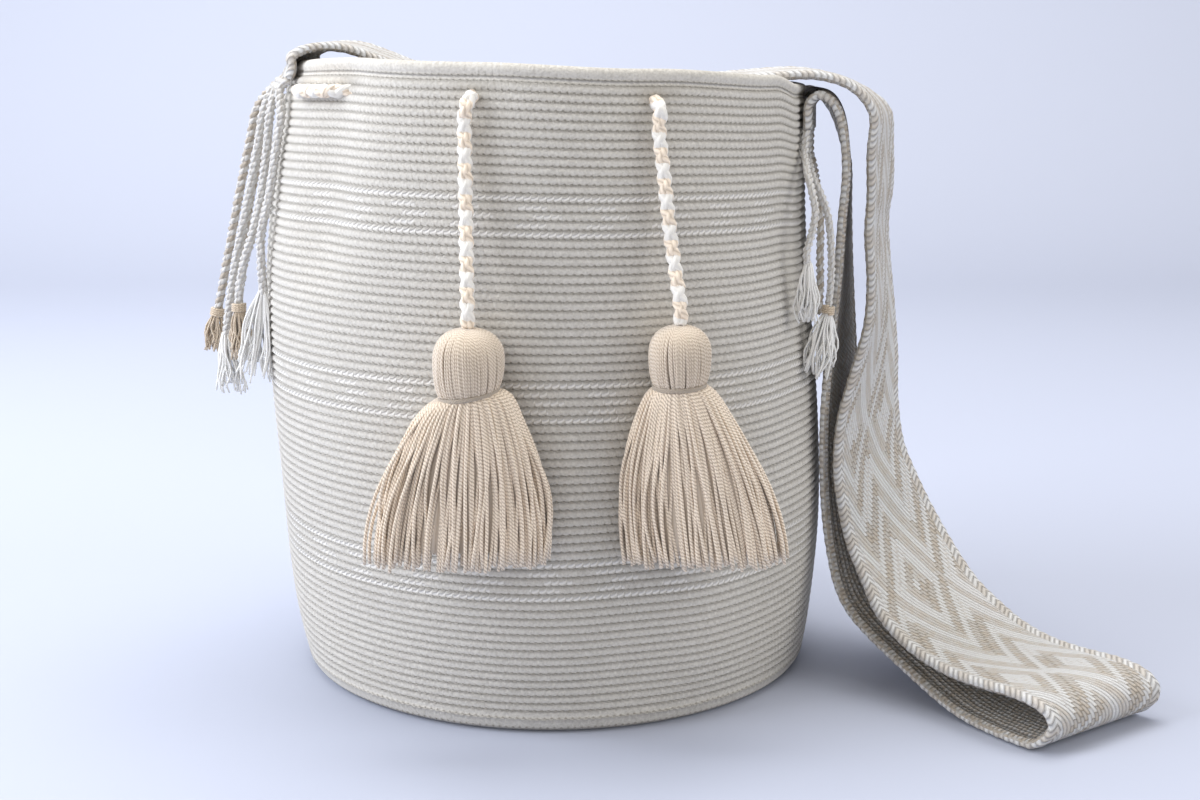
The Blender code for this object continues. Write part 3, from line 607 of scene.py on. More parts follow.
class BAG_OT_crochet(bpy.types.Operator):
    """Build the crocheted body with a ridge for each row"""
    bl_idname = "bag.crochet"
    bl_label = "Crocheted Body"

    def execute(self, context):
        sizes = context.scene.bag_sizes
        points, stitches, rows = crochet_grid(sizes.segments)
        uvs = np.stack([stitches * sizes.stitches, rows], axis=-1)
        piece = grid_piece("crochet_wall", [(points, uvs)], [crochet_finish(sizes)])
        dress(piece, "cream_cotton", "crocheted_body")
        height = float(lengths_along(points[:, 0])[-1]) / 2
        across = 2 * math.pi * BELLY_RADIUS
        min(0.999 * across * height, cloth_area(points))
        return {"FINISHED"}


def cloth_area(points):
    """Area of the cloth between the rings, one layer."""
    rings = points[:-1], points[1:]
    down = rings[1] - rings[0]
    beside = np.roll(rings[0], -1, axis=1) - rings[0]
    return float(np.linalg.norm(np.cross(down, beside), axis=-1).sum()) / 2


def inside_wall():
    return -(WALL + CORD_RADIUS + CORD_GAP)


def outside_wall():
    return CORD_RADIUS + CORD_GAP


def tassel_top(tassel):
    return on_wall(tassel.angle, BAG_HEIGHT - EYELET_DROP - CORD_HANG, tassel.head_radius + 2 * CORD_GAP)


def tassel_neck(tassel):
    return tassel_top(tassel) - np.array([0.0, 0.0, tassel.head_height])


def passage(angle, level, direction, outwards):
    first, last = (inside_wall(), outside_wall()) if outwards else (outside_wall(), inside_wall())
    return [on_wall(angle - direction * PASSAGE_REACH, level, first), on_wall(angle, level, -WALL / 2),
            on_wall(angle + direction * PASSAGE_REACH, level, last)]


def eyelet_points(angle, turn_to, side):
    """From the tassel up to the eyelet and into the run inside the wall."""
    level = BAG_HEIGHT - EYELET_DROP
    top = tassel_top(TASSELS[side]) + np.array([0.0, 0.0, TOUCH_GAP])
    outer = on_wall(angle, level - 0.011, outside_wall() + 0.0005)
    return [top, top + np.array([0.0, 0.0, 0.008]), top + (outer - top) * 0.45, top + (outer - top) * 0.78,
            outer, on_wall(angle, level - 0.0035, outside_wall() + 0.0020), on_wall(angle, level, 0.0015),
            on_wall(angle + turn_to * 0.7, level, -WALL - 0.0010),
            on_wall(angle + turn_to * 4.6, level, inside_wall() - 0.0010)]


def drawstring_route():
    """The whole cord: left end, in at the left eyelet, round the mouth and out at the right one."""
    level = BAG_HEIGHT - EYELET_DROP
    route = eyelet_points(LEFT_EYELET, -1, "left")
    route += [on_wall(angle, level, inside_wall()) for angle in (-27, -36)]
    route += passage(-48, level, -1, True)
    route += [on_wall(-58, level, outside_wall())]
    route += passage(-68, level, -1, False)
    route += [on_wall(angle, level, inside_wall()) for angle in range(-80, -166, -10)]
    route += passage(-168, level, -1, True)
    route += [on_wall(-180, level, outside_wall())]
    route += passage(-192, level, -1, False)
    route += [on_wall(angle, level, inside_wall()) for angle in range(-204, -330, -10)]
    route += eyelet_points(RIGHT_EYELET, 1, "right")[::-1]
    return smooth_through(route, 0.0016)


def braid_grids(path, pitch):
    """Four strands of a round braid: two wind each way and pass over and under each other."""
    across, over = carried_frames(path)
    along = lengths_along(path)
    grids = []
    for direction, start in ((1, 0.0), (1, math.pi), (-1, 0.0), (-1, math.pi)):
        turn = direction * 2 * math.pi * along / pitch + start
        out = STRAND_REACH * (1.0 + 0.16 * direction * np.cos(2 * turn))
        centre = path + across * (out * np.cos(turn))[:, None] + over * (out * np.sin(turn))[:, None]
        grids.append(tube_grid(centre, STRAND_RADIUS, 8))
    return grids


class BAG_OT_drawstring(bpy.types.Operator):
    """Build the braided drawstring along its route through the eyelets"""
    bl_idname = "bag.drawstring"
    bl_label = "Drawstring"

    def execute(self, context):
        sizes = context.scene.bag_sizes
        path = drawstring_route()
        white = yarn_finish("drawstring_white", sizes.bright, sizes.white_shadow, 0.0050, 5.0, 0.20)
        beige = yarn_finish("drawstring_beige", sizes.yarn, sizes.yarn_shadow, 0.0030, 4.0, 0.55, 0.0004)
        grids = braid_grids(path, sizes.braid_pitch) + [tube_grid(path, BRAID_CORE_RADIUS, 10)]
        piece = grid_piece("drawstring_braid", grids, [white, beige], slots=[0, 1, 0, 1, 0])
        dress(piece, "beige_yarn", "drawstring")
        return {"FINISHED"}


def head_yarns(tassel, chance, radius):
    """Yarns that run from the top of the head over the ball to the neck."""
    top = tassel_top(tassel)
    grids = []
    count = round(2 * math.pi * tassel.head_radius / (HEAD_YARN_SPACING * radius))
    for number in range(count):
        turn = 2 * math.pi * (number + chance.uniform(-0.2, 0.2)) / count
        swirl = chance.uniform(0.0, 0.16)
        sunk = chance.uniform(0.0, 0.0007)
        points = []
        for share, size in HEAD_OUTLINE:
            angle = turn + swirl * share
            out = tassel.head_radius * size - radius * 0.9 - sunk * share
            tilted = tassel.tilt * out * math.cos(angle) * share ** 2
            points.append(top + np.array([out * math.cos(angle), out * math.sin(angle),
                                          -tassel.head_height * share - radius * 0.4 + tilted]))
        path = smooth_through(points, 0.0030)
        grids.append(tube_grid(path, radius, YARN_SIDES, chance.uniform(0.0, 0.01)))
    return grids


def skirt_spread(tassel, share):
    """How far the skirt has opened at a share of its length: at once at the neck, then steadily."""
    at_once = tassel.shoulder * (1.0 - math.exp(-share / 0.02))
    return at_once + (1.0 - tassel.shoulder) * (1.0 - (1.0 - share) ** FLARE)


def skirt_yarns(tassel, chance, radius):
    """Yarns that spring from the neck and hang in a flat flare against the wall."""
    neck = tassel_neck(tassel)
    start = tassel.head_radius * NECK_SHARE - radius
    grids = []
    for layer, count in SKIRT_LAYERS:
        for number in range(count):
            turn = 2 * math.pi * (number + chance.uniform(-0.5, 0.5)) / count
            size = layer * chance.uniform(0.94, 1.03)
            length = tassel.skirt * chance.uniform(0.965, 1.025)
            curl = chance.uniform(-0.0026, 0.0026)
            phase, speed = chance.uniform(0.0, 6.28), chance.uniform(2.5, 6.0)
            points = []
            for share in (0.0, 0.02, 0.045, 0.09, 0.16, 0.27, 0.42, 0.58, 0.74, 0.88, 1.0):
                spread = skirt_spread(tassel, share)
                wide = start + (tassel.half_width - radius - start) * spread
                deep = start + (tassel.half_depth - radius - start) * min(spread * 1.6, 1.0)
                sway = curl * (math.sin(phase + share * speed) - math.sin(phase)) * min(share * 2.0, 1.0)
                tilted = tassel.tilt * wide * math.cos(turn) * max(1.0 - share * 6.0, 0.0)
                points.append(neck + np.array([
                    wide * size * math.cos(turn) + tassel.run * share + sway,
                    deep * size * math.sin(turn) - max(deep - tassel.head_radius, 0.0) + 0.3 * sway,
                    0.0006 - length * share + tilted]))
            path = clear_of_wall(smooth_through(points, 0.0060), radius)
            grids.append(tube_grid(path, radius, YARN_SIDES, chance.uniform(0.0, 0.01)))
    return grids


def tie_grid(tassel):
    """Thread wound around the neck, a little tilted."""
    turn = np.linspace(0.0, 2 * math.pi * TIE_TURNS, 90)
    out = tassel.head_radius * NECK_SHARE + 0.0009
    rise = out * tassel.tilt * np.cos(turn) + 0.0004 * turn / (2 * math.pi)
    coil = tassel_neck(tassel) + np.stack([out * np.cos(turn), out * np.sin(turn), rise], axis=-1)
    return tube_grid(coil, TIE_RADIUS, 6)


def ring_map(rings, sides, turns):
    """Map of plain rings: a number of turns around them, and 50 mm along them."""
    along = np.repeat(np.linspace(0.0, 0.05, rings)[:, None], sides + 1, axis=1)
    around = np.repeat(np.linspace(0.0, turns, sides + 1)[None], rings, axis=0)
    return np.stack([around, along], axis=-1)


def head_core_grid(tassel):
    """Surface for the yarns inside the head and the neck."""
    top = tassel_top(tassel)
    sides = 24
    turn = np.linspace(0.0, 2 * math.pi, sides, endpoint=False)
    rings = []
    for share, size in HEAD_CORE_OUTLINE:
        out = (tassel.head_radius - 0.0012) * size
        rings.append(np.stack([top[0] + out * np.cos(turn), top[1] + out * np.sin(turn),
                               np.full(sides, top[2] - tassel.head_height * share)], axis=-1))
    return np.array(rings), ring_map(len(rings), sides, 60.0)


def skirt_core_grid(tassel):
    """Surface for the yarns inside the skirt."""
    neck = tassel_neck(tassel)
    start = tassel.head_radius * NECK_SHARE - 0.0015
    sides = 48
    turn = np.linspace(0.0, 2 * math.pi, sides, endpoint=False)
    rings = []
    for share in (0.01, 0.04, 0.09, 0.16, 0.27, 0.42, 0.58, 0.74, 0.90):
        spread = skirt_spread(tassel, share)
        wide = start + (tassel.half_width * 0.86 - start) * spread
        deep = start + (tassel.half_depth * 0.80 - start) * min(spread * 1.6, 1.0)
        forward = max(tassel.half_depth - tassel.head_radius, 0.0) * spread
        middle = neck + np.array([tassel.run * share, -forward, -tassel.skirt * share])
        ring = middle + np.stack([wide * np.cos(turn), deep * np.sin(turn), 0 * turn], axis=-1)
        rings.append(clear_of_wall(ring, 0.0010))
    return np.array(rings), ring_map(len(rings), sides, 90.0)


class BAG_OT_tassels(bpy.types.Operator):
    """Build both tassels from single twisted yarns"""
    bl_idname = "bag.tassels"
    bl_label = "Tassels"

    def execute(self, context):
        sizes = context.scene.bag_sizes
        shadow = sizes.yarn_shadow
        finishes = [yarn_finish("tassel_yarn", sizes.yarn, shadow, 0.0016, contrast=1.0),
                    # The core is the yarn colour darkened to 0.72: painted shade of the yarns deep inside.
                    yarn_finish("tassel_core", darker(sizes.yarn, 0.72), shadow, 1.0, 1.0),
                    # The tie is the yarn colour darkened to 0.42: painted shade of the groove at the neck.
                    yarn_finish("tassel_tie", darker(sizes.yarn, 0.42), shadow),
                    yarn_finish("tassel_head", darker(sizes.yarn, 0.80), shadow, 0.0016, contrast=1.0)]
        for side, tassel in TASSELS.items():
            chance = random.Random(tassel.seed)
            heads = head_yarns(tassel, chance, sizes.head_yarn_radius)
            skirt = skirt_yarns(tassel, chance, sizes.yarn_radius)
            grids = heads + skirt + [head_core_grid(tassel), skirt_core_grid(tassel), tie_grid(tassel)]
            slots = [3] * len(heads) + [0] * len(skirt) + [1, 1, 2]
            piece = grid_piece(f"tassel_{side}_yarns", grids, finishes, slots=slots)
            dress(piece, "beige_yarn", f"tassel_{side}", f"tassel_tie_{side}")
        return {"FINISHED"}


def strap_route():
    """Near edge of the band with its turn: x, y, z, turn of the width, bow that follows the wall."""
    half = SELVAGE_THICKNESS / 2 + TOUCH_GAP
    edge = -STRAP_WIDTH / 2
    bow = MOUTH_RADIUS - math.sqrt(MOUTH_RADIUS ** 2 - (STRAP_WIDTH / 2) ** 2)
    rim = BAG_HEIGHT + float(rim_rise(90))
    seam = rim - RIGHT_SEAM_DROP

    def beside(out, y, z, turn, bowed=0.0):
        return (side_x(1, y, z, out), y, z, turn, bowed)

    sewn = half + SEWN_GAP
    inner = [
        beside(sewn, edge, seam, 0, bow), beside(sewn, edge, seam + SEAM_HEIGHT / 2, 0, bow),
        beside(sewn + 0.0006, edge, seam + SEAM_HEIGHT, 0, bow),
        beside(0.0085, edge, rim - 0.0045, 2, bow * 0.9), beside(0.0150, edge, rim - 0.0080, 3, bow * 0.6),
        beside(0.0195, edge, rim - 0.0190, 5, bow * 0.3), beside(0.0215, edge - 0.002, rim - 0.0400, 8),
        beside(0.0195, edge - 0.004, 0.2240, 10), beside(0.0165, edge - 0.005, 0.1980, 12),
        beside(0.0110, edge - 0.006, 0.1660, 16), beside(0.0068, edge - 0.006, 0.1340, 20),
        beside(0.0050, edge - 0.006, 0.1080, 26), beside(0.0058, edge - 0.007, 0.0830, 31),
        beside(0.0095, edge - 0.009, 0.0620, 38), (0.1387, -0.052, 0.0460, 44, 0),
        (0.1444, -0.057, 0.0345, 49, 0), (0.1530, -0.068, 0.0262, 53, 0), (0.1640, -0.081, 0.0180, 54, 0),
        (0.1780, -0.098, 0.0085, 54, 0), (0.1870, -0.111, 0.0042, 54, 0), (0.1960, -0.124, half, 54, 0),
    ]
    fold = [
        (0.2080, -0.1410, half, 54, 0), (0.2140, -0.1480, 0.0036, 54, 0), (0.2190, -0.1515, 0.0085, 54, 0),
        (0.2208, -0.1525, 0.0140, 54, 0), (0.2188, -0.1510, 0.0188, 54, 0), (0.2140, -0.1470, 0.0222, 54, 0),
        (0.2060, -0.1370, 0.0232, 54, 0),
    ]
    outer = [
        (0.1940, -0.1220, 0.0222, 54, 0), (0.1825, -0.1070, 0.0224, 54, 0), (0.1715, -0.0930, 0.0258, 54, 0),
        (0.1625, -0.0820, 0.0318, 54, 0), (0.1550, -0.0710, 0.0402, 51, 0), (0.1500, -0.0620, 0.0520, 47, 0),
        beside(0.0190, edge - 0.014, 0.0677, 44), beside(0.0140, edge - 0.012, 0.0860, 39),
        beside(0.0120, edge - 0.011, 0.1050, 34), beside(0.0145, edge - 0.010, 0.1280, 30),
        beside(0.0205, edge - 0.008, 0.1500, 25), beside(0.0285, edge - 0.007, 0.1740, 18),
        beside(0.0315, edge - 0.006, 0.1960, 15), beside(0.0315, edge - 0.005, 0.2180, 15),
        beside(0.0325, edge - 0.003, rim - 0.0520, 16), beside(0.0325, edge - 0.002, rim - 0.0320, 16),
        beside(0.0335, edge, rim - 0.0150, 14), (0.1468, edge, rim - 0.0052, 9, bow * 0.2),
        (0.1385, edge, rim + 0.0010, 4, bow * 0.4), (0.1280, edge, rim + 0.0042, 1, bow * 0.4),
        (0.1180, edge, rim + half + 0.0024, 0, bow * 0.4),
    ]
    left_rim = BAG_HEIGHT + float(rim_rise(-90))
    across = [
        (0.1020, edge, rim + 0.0040, 0, bow * 0.2), (0.0600, edge, rim + 0.0006, 0, 0),
        (0.0100, edge, rim - 0.0010, 0, 0), (-0.0350, edge, rim + 0.0010, 0, 0),
        (-0.0650, edge, left_rim - 0.0050, 0, 0), (-0.0830, edge, left_rim + 0.0014, 0, 0),
        (-0.0960, edge, left_rim + 0.0060, 0, -bow * 0.3), (-0.1070, edge, left_rim + 0.0070, 0, -bow * 0.6),
        (-0.1160, edge, left_rim + 0.0056, 0, -bow * 0.8),
    ]
    for drop, out in ((-0.0020, 0.0030), (0.0018, 0.0012), (0.0048, 0.0006), (LEFT_SEAM_DROP, 0.0004)):
        height = left_rim - drop
        across.append((side_x(-1, edge, height, sewn + out), edge, height, 0, -bow))
    return inner + fold + outer + across


def band_points(station, across):
    """Middle of the band's thickness at distances across its width, clear of the wall."""
    turn = math.radians(station[3])
    across = np.asarray(across, dtype=float)
    share = across / STRAP_WIDTH
    points = station[:3] + across[:, None] * np.array([math.sin(turn), math.cos(turn), 0.0])
    points[:, 0] += station[4] * 4 * share * (1 - share)
    rim = BAG_HEIGHT + rim_rise(np.degrees(np.arctan2(points[:, 0], -points[:, 1])))
    near = (points[:, 2] < rim + TOUCH_GAP) & (wall_distance(points) > -2 * WALL)
    cleared = clear_of_wall(points, SELVAGE_THICKNESS / 2 + TOUCH_GAP)
    return np.where(near[:, None], cleared, points)


def band_outline():
    """Distances across the band and half thickness there, from the near edge to the far one."""
    selvage = SELVAGE_THICKNESS / 2
    edge = [(0.0, 0.30), (0.0004, 0.62), (0.0012, 0.88), (0.0024, 1.0), (0.0036, 1.0), (0.0048, 0.90)]
    edge = [(across, selvage * size) for across, size in edge] + [(SELVAGE_WIDTH, BAND_THICKNESS * 0.40)]
    middle = [(STRAP_WIDTH * share, BAND_THICKNESS / 2) for share in np.linspace(0.11, 0.89, 12)]
    return edge + middle + [(STRAP_WIDTH - across, lift) for across, lift in edge[::-1]]


def strap_stations():
    return smooth_through(strap_route(), 0.0013)


def strap_grid(stations):
    """Rings of the band with their map, and the finish of each part of a ring: 0 outer, 1 reverse."""
    along = lengths_along(stations[:, :3])
    outline = np.array(band_outline())
    across = np.concatenate([outline[:, 0], outline[::-1, 0]])
    lift = np.concatenate([outline[:, 1], -outline[::-1, 1]])
    tangents = np.gradient(stations[:, :3], axis=0)
    turn = np.radians(stations[:, 3])
    widths = np.stack([np.sin(turn), np.cos(turn), 0 * turn], axis=-1)
    normals = np.cross(tangents, widths)
    normals /= np.linalg.norm(normals, axis=1)[:, None]
    in_edge = (across < SELVAGE_WIDTH) | (across > STRAP_WIDTH - SELVAGE_WIDTH)
    rings = []
    for i, station in enumerate(stations):
        lobe = 0.5 + 0.5 * math.sin(2 * math.pi * along[i] / PLAIT_LOBE)
        pushed = np.where(in_edge, across + np.sign(across - STRAP_WIDTH / 2) * 0.0003 * lobe, across)
        thick = np.where(in_edge, lift * (0.90 + 0.10 * lobe), lift)
        rings.append(band_points(station, pushed) + normals[i] * thick[:, None])
    count = len(across)
    uvs = np.stack([np.repeat(np.append(across, across[0])[None], len(stations), axis=0),
                    np.repeat(along[:, None], count + 1, axis=1)], axis=-1)
    numbers = np.zeros((len(stations), count), int)
    numbers[:, :len(outline) - 1] = 1
    return np.array(rings), uvs, numbers


class BAG_OT_strap(bpy.types.Operator):
    """Build the woven strap with its plaited edges"""
    bl_idname = "bag.strap"
    bl_label = "Shoulder Strap"

    def execute(self, context):
        sizes = context.scene.bag_sizes
        stations = strap_stations()
        points, uvs, numbers = strap_grid(stations)
        finishes = [strap_face_finish(sizes), strap_back_finish(sizes)]
        piece = grid_piece("strap_band", [(points, uvs)], finishes, slots=[numbers])
        dress(piece, "cream_yarn", "shoulder_strap")
        return {"FINISHED"}


FRINGE_ROUTES = {
    "left_1": (0.42, [(-0.1445, -0.008, 0.2765), (-0.1484, -0.010, 0.2608), (-0.1539, -0.012, 0.2366),
                      (-0.1594, -0.012, 0.2120), (-0.1648, -0.012, 0.1881), (-0.1680, -0.012, 0.1740)]),
    "left_2": (0.27, [(-0.1392, -0.020, 0.2760), (-0.1429, -0.022, 0.2568), (-0.1484, -0.024, 0.2305),
                      (-0.1543, -0.024, 0.2061), (-0.1586, -0.024, 0.1839), (-0.1612, -0.024, 0.1660)]),
    "left_3": (0.58, [(-0.1430, 0.008, 0.2745), (-0.1470, 0.008, 0.2547), (-0.1515, 0.006, 0.2349),
                      (-0.1552, 0.004, 0.2151), (-0.1575, 0.003, 0.1995), (-0.1575, 0.002, 0.1889)]),
    "left_4": (0.135, [(-0.1340, -0.0325, 0.2750), (-0.1360, -0.034, 0.2577), (-0.1392, -0.036, 0.2365),
                       (-0.1440, -0.037, 0.2174), (-0.1484, -0.037, 0.2044), (-0.1515, -0.036, 0.1900),
                       (-0.1520, -0.036, 0.1800)]),
    "left_5": (0.02, [(-0.1271, -0.043, 0.2745), (-0.1301, -0.045, 0.2560), (-0.1334, -0.046, 0.2373),
                      (-0.1379, -0.046, 0.2197), (-0.1385, -0.046, 0.2054), (-0.1380, -0.046, 0.1900)]),
    "right_1": (0.12, [(0.1222, -0.0330, 0.2540), (0.1234, -0.0410, 0.2465), (0.1268, -0.0460, 0.2385),
                       (0.1305, -0.0480, 0.2275), (0.1322, -0.0490, 0.2135), (0.1325, -0.0500, 0.1984),
                       (0.1312, -0.0510, 0.1810)]),
    "right_2": (0.02, [(0.1198, -0.0420, 0.2545), (0.1198, -0.0530, 0.2480), (0.1214, -0.0600, 0.2400),
                       (0.1227, -0.0630, 0.2310), (0.1213, -0.0650, 0.2225), (0.1186, -0.0670, 0.2128),
                       (0.1195, -0.0670, 0.2060)]),
    "right_3": (0.22, [(0.1248, -0.0245, 0.2540), (0.1262, -0.0320, 0.2440), (0.1275, -0.0370, 0.2352),
                       (0.1282, -0.0390, 0.2214), (0.1282, -0.0400, 0.2064), (0.1286, -0.0405, 0.1924),
                       (0.1280, -0.0410, 0.1801)]),
}

# Frayed ends: length, half width, half depth, sideways run
TUFTS = {
    "left_1": (0.019, 0.0050, 0.0040, -0.002),
    "left_2": (0.030, 0.0062, 0.0045, 0.002),
    "left_4": (0.026, 0.0055, 0.0045, 0.000),
    "left_5": (0.044, 0.0090, 0.0040, -0.005),
    "right_1": (0.033, 0.0075, 0.0050, -0.004),
    "right_2": (0.028, 0.0050, 0.0035, 0.000),
}
TIED = ("left_1", "left_4", "right_1")
TAN_ENDS = ("left_1", "left_4")
TWO_COLOURED = ("left_1", "left_3", "right_3")
TAUPE_CORDS = ("left_3", "right_3")


def fringe_path(name, stations):
    share, route = FRINGE_ROUTES[name]
    left = name.startswith("left")
    radius = LEFT_FRINGE_RADIUS if left else RIGHT_FRINGE_RADIUS
    end, before = (stations[-1], stations[-20]) if left else (stations[0], stations[20])
    tip = band_points(end, [STRAP_WIDTH * share])[0]
    run = tip - band_points(before, [STRAP_WIDTH * share])[0]
    run /= np.linalg.norm(run)
    start = tip + run * 2 * TOUCH_GAP
    smooth = smooth_through([start, tip + run * (2 * TOUCH_GAP + 0.006), *route], 0.0014)
    return np.concatenate([smooth[:1], clear_of_wall(smooth[1:], radius)]), radius


def twist_grids(path, radius):
    """Two plies wound around each other."""
    across, over = carried_frames(path)
    along = lengths_along(path)
    grids = []
    for start in (0.0, math.pi):
        turn = 2 * math.pi * along / CORD_TWIST + start
        around = across * np.cos(turn)[:, None] + over * np.sin(turn)[:, None]
        centre = path + PLY_REACH_SHARE * radius * around
        grids.append(tube_grid(centre, radius * PLY_RADIUS_SHARE, 7))
    return grids


def fray_grids(name, path, radius, chance):
    """Loose yarns below a cord's end."""
    length, half_width, half_depth, run = TUFTS[name]
    grids = []
    for number in range(FRAY_YARNS):
        turn = 2 * math.pi * number / FRAY_YARNS + chance.uniform(-0.2, 0.2)
        size = math.sqrt(chance.uniform(0.02, 1.0))
        reach = length * chance.uniform(0.70, 1.03)
        curl, phase = chance.uniform(0.0004, 0.0026), chance.uniform(0.0, 6.28)
        points = []
        for share in (0.0, 0.14, 0.28, 0.42, 0.57, 0.71, 0.86, 1.0):
            open_share = math.sin(min(share * 1.3, 1.0) * math.pi / 2)
            wide = radius * 0.7 + (half_width - radius * 0.7) * open_share
            deep = radius * 0.7 + (half_depth - radius * 0.7) * open_share
            wave = curl * share * math.sin(phase + share * 7.0)
            points.append(path[-1] + np.array([wide * size * math.cos(turn) + run * share + wave,
                                               deep * size * math.sin(turn), 0.002 - reach * share]))
        grids.append(tube_grid(clear_of_wall(smooth_through(points, 0.003), 0.0005), FRAY_RADIUS, 4))
    return grids


def binding_grid(path, radius):
    """Turns of tan thread around a cord's end."""
    across, over = carried_frames(path[-12:])
    turn = np.linspace(0.0, 2 * math.pi * 4, 60)
    run = (path[-1] - path[-8]) / np.linalg.norm(path[-1] - path[-8])
    ring = across[-4] * np.cos(turn)[:, None] + over[-4] * np.sin(turn)[:, None]
    coil = path[-4] + ring * (radius + TIE_RADIUS) + run * (turn / (2 * math.pi) * 0.0010)[:, None]
    return tube_grid(coil, TIE_RADIUS, 6)


class BAG_OT_fringe(bpy.types.Operator):
    """Build the cords, frayed ends and ties that hang at the strap's two seams"""
    bl_idname = "bag.fringe"
    bl_label = "Fringe"

    def execute(self, context):
        sizes = context.scene.bag_sizes
        # Taupe serves as the painted shade between the cream plies.
        cream = yarn_finish("fringe_cream", sizes.strap_cream, sizes.taupe, 0.0030, 3.0, relief=0.0004)
        taupe = yarn_finish("fringe_taupe", sizes.taupe, sizes.taupe_shadow, 0.0030, 3.0)
        tan = yarn_finish("tan_thread", sizes.tan, sizes.yarn_shadow, 0.0014, 2.0)
        loose = yarn_finish("loose_white", sizes.loose, sizes.white_shadow, 0.0014, 2.0, 0.10, 0.00004)
        chance = random.Random(21)
        stations = strap_stations()
        for name in FRINGE_ROUTES:
            path, radius = fringe_path(name, stations)
            slots = [0, 1] if name in TWO_COLOURED else [0, 0]
            plies = twist_grids(path, radius)
            piece = grid_piece(f"fringe_cord_{name}", plies, [cream, taupe], slots=slots)
            dress(piece, "taupe_yarn" if name in TAUPE_CORDS else "cream_yarn", f"fringe_{name}")
            if name in TUFTS:
                yarn, slot = (tan, "tan_thread") if name in TAN_ENDS else (loose, "cream_yarn")
                fray = grid_piece(f"fringe_fray_{name}", fray_grids(name, path, radius, chance), [yarn])
                dress(fray, slot, f"fringe_tuft_{name}")
            if name in TIED:
                tie = grid_piece(f"fringe_binding_{name}", [binding_grid(path, radius)], [tan])
                dress(tie, "tan_thread", f"fringe_tie_{name}")
            2 * radius
        return {"FINISHED"}


# Paper: its front edge, where its bend starts, the bend's radius, its top and half its width
SWEEP_FRONT = -2.5
SWEEP_START = 1.3
SWEEP_RADIUS = 0.7
SWEEP_TOP = 3.0
SWEEP_HALF_WIDTH = 4.0
# Colour the paper lightens towards far behind: painted light.
PAPER_PAINTED_LIGHT = (0.80, 0.84, 0.97)
CAMERA_PLACE = (0.0228, -0.90, 0.32)
CAMERA_TILT = 78.0


def sweep_finish(sizes):
    """Seamless studio paper with painted shade, a little darker towards the right, and painted light, lighter
    far behind.
    """
    finish = Finish("studio_paper", 1.0, specular=0.0)
    x, y = finish.parts(finish.place())
    paper = finish.mix(x.step(-0.5, 0.6), sizes.paper_left, sizes.paper_right_painted_shade)
    return finish.done(finish.mix(y.step(1.1, 2.0) * sizes.paper_painted_light, paper, PAPER_PAINTED_LIGHT))


def add_softbox(name, place, target, size, power, colour):
    light = bpy.data.objects.new(name, bpy.data.lights.new(name, "AREA"))
    light.data.shape = "RECTANGLE"
    light.data.size, light.data.size_y = size
    light.data.energy = power
    light.data.color = colour
    light.location = place
    light.rotation_euler = (Vector(place) - Vector(target)).to_track_quat("Z", "Y").to_euler()
    bpy.context.scene.collection.objects.link(light)


class BAG_OT_studio(bpy.types.Operator):
    """Set the paper sweep, the soft lights, the world and the camera"""
    bl_idname = "bag.studio"
    bl_label = "Studio"

    def execute(self, context):
        sizes = context.scene.bag_sizes
        depth = [(SWEEP_FRONT, 0.0), (SWEEP_START, 0.0)]
        for turn in range(10, 91, 10):
            angle = math.radians(turn)
            depth.append((SWEEP_START + SWEEP_RADIUS * math.sin(angle), SWEEP_RADIUS * (1 - math.cos(angle))))
        depth.append((SWEEP_START + SWEEP_RADIUS, SWEEP_TOP))
        points = np.array([[(x, y, z) for x in (-SWEEP_HALF_WIDTH, SWEEP_HALF_WIDTH)] for y, z in depth])
        uvs = np.zeros((len(depth), 3, 2))
        paper = grid_piece("paper_sweep", [(points, uvs)], [sweep_finish(sizes)], around=False)
        key, warm, plain = tuple(sizes.key_colour), tuple(sizes.world_colour), (1.0, 1.0, 1.0)
        for name, place, target, size, power, colour in (
                ("key_softbox", (-1.7, -0.35, 1.1), (0.0, 0.0, 0.12), (1.4, 1.4), sizes.key_power, key),
                ("front_softbox", (-0.6, -2.2, 0.7), (0.0, 0.0, 0.15), (1.2, 1.2), sizes.front_power, warm),
                ("side_softbox", (1.8, -0.5, 1.0), (0.0, 0.0, 0.12), (1.2, 1.2), sizes.side_power, plain),
                ("top_softbox", (0.0, 0.45, 2.0), (0.0, 0.2, 0.0), (2.0, 1.4), sizes.top_power, plain)):
            add_softbox(name, place, target, size, power, colour)
        world = bpy.data.worlds.new("studio_world")
        world.use_nodes = True
        background = world.node_tree.nodes["Background"]
        background.inputs["Color"].default_value = rgba(sizes.world_colour)
        background.inputs["Strength"].default_value = sizes.world_strength
        context.scene.world = world
        camera = bpy.data.objects.new("photo_camera", bpy.data.cameras.new("photo_camera"))
        camera.data.lens = sizes.lens
        camera.data.sensor_width = 36.0
        camera.data.clip_start = 0.01
        camera.location = CAMERA_PLACE
        camera.rotation_euler = (math.radians(CAMERA_TILT), 0.0, 0.0)
        context.scene.collection.objects.link(camera)
        context.scene.camera = camera
        context.scene.view_settings.view_transform = "Standard"
        return {"FINISHED"}


def colour_property(name, description, default):
    return FloatVectorProperty(name=name, description=description, subtype="COLOR", size=3, min=0.0, max=1.0,
                               default=default)


def length_property(name, description, default):
    return FloatProperty(name=name, description=description, default=default, unit="LENGTH")


def power_property(name, description, default):
    return FloatProperty(name=name, description=description, default=default, unit="POWER")


def share_property(name, description, default):
    return FloatProperty(name=name, description=description, default=default, subtype="FACTOR")


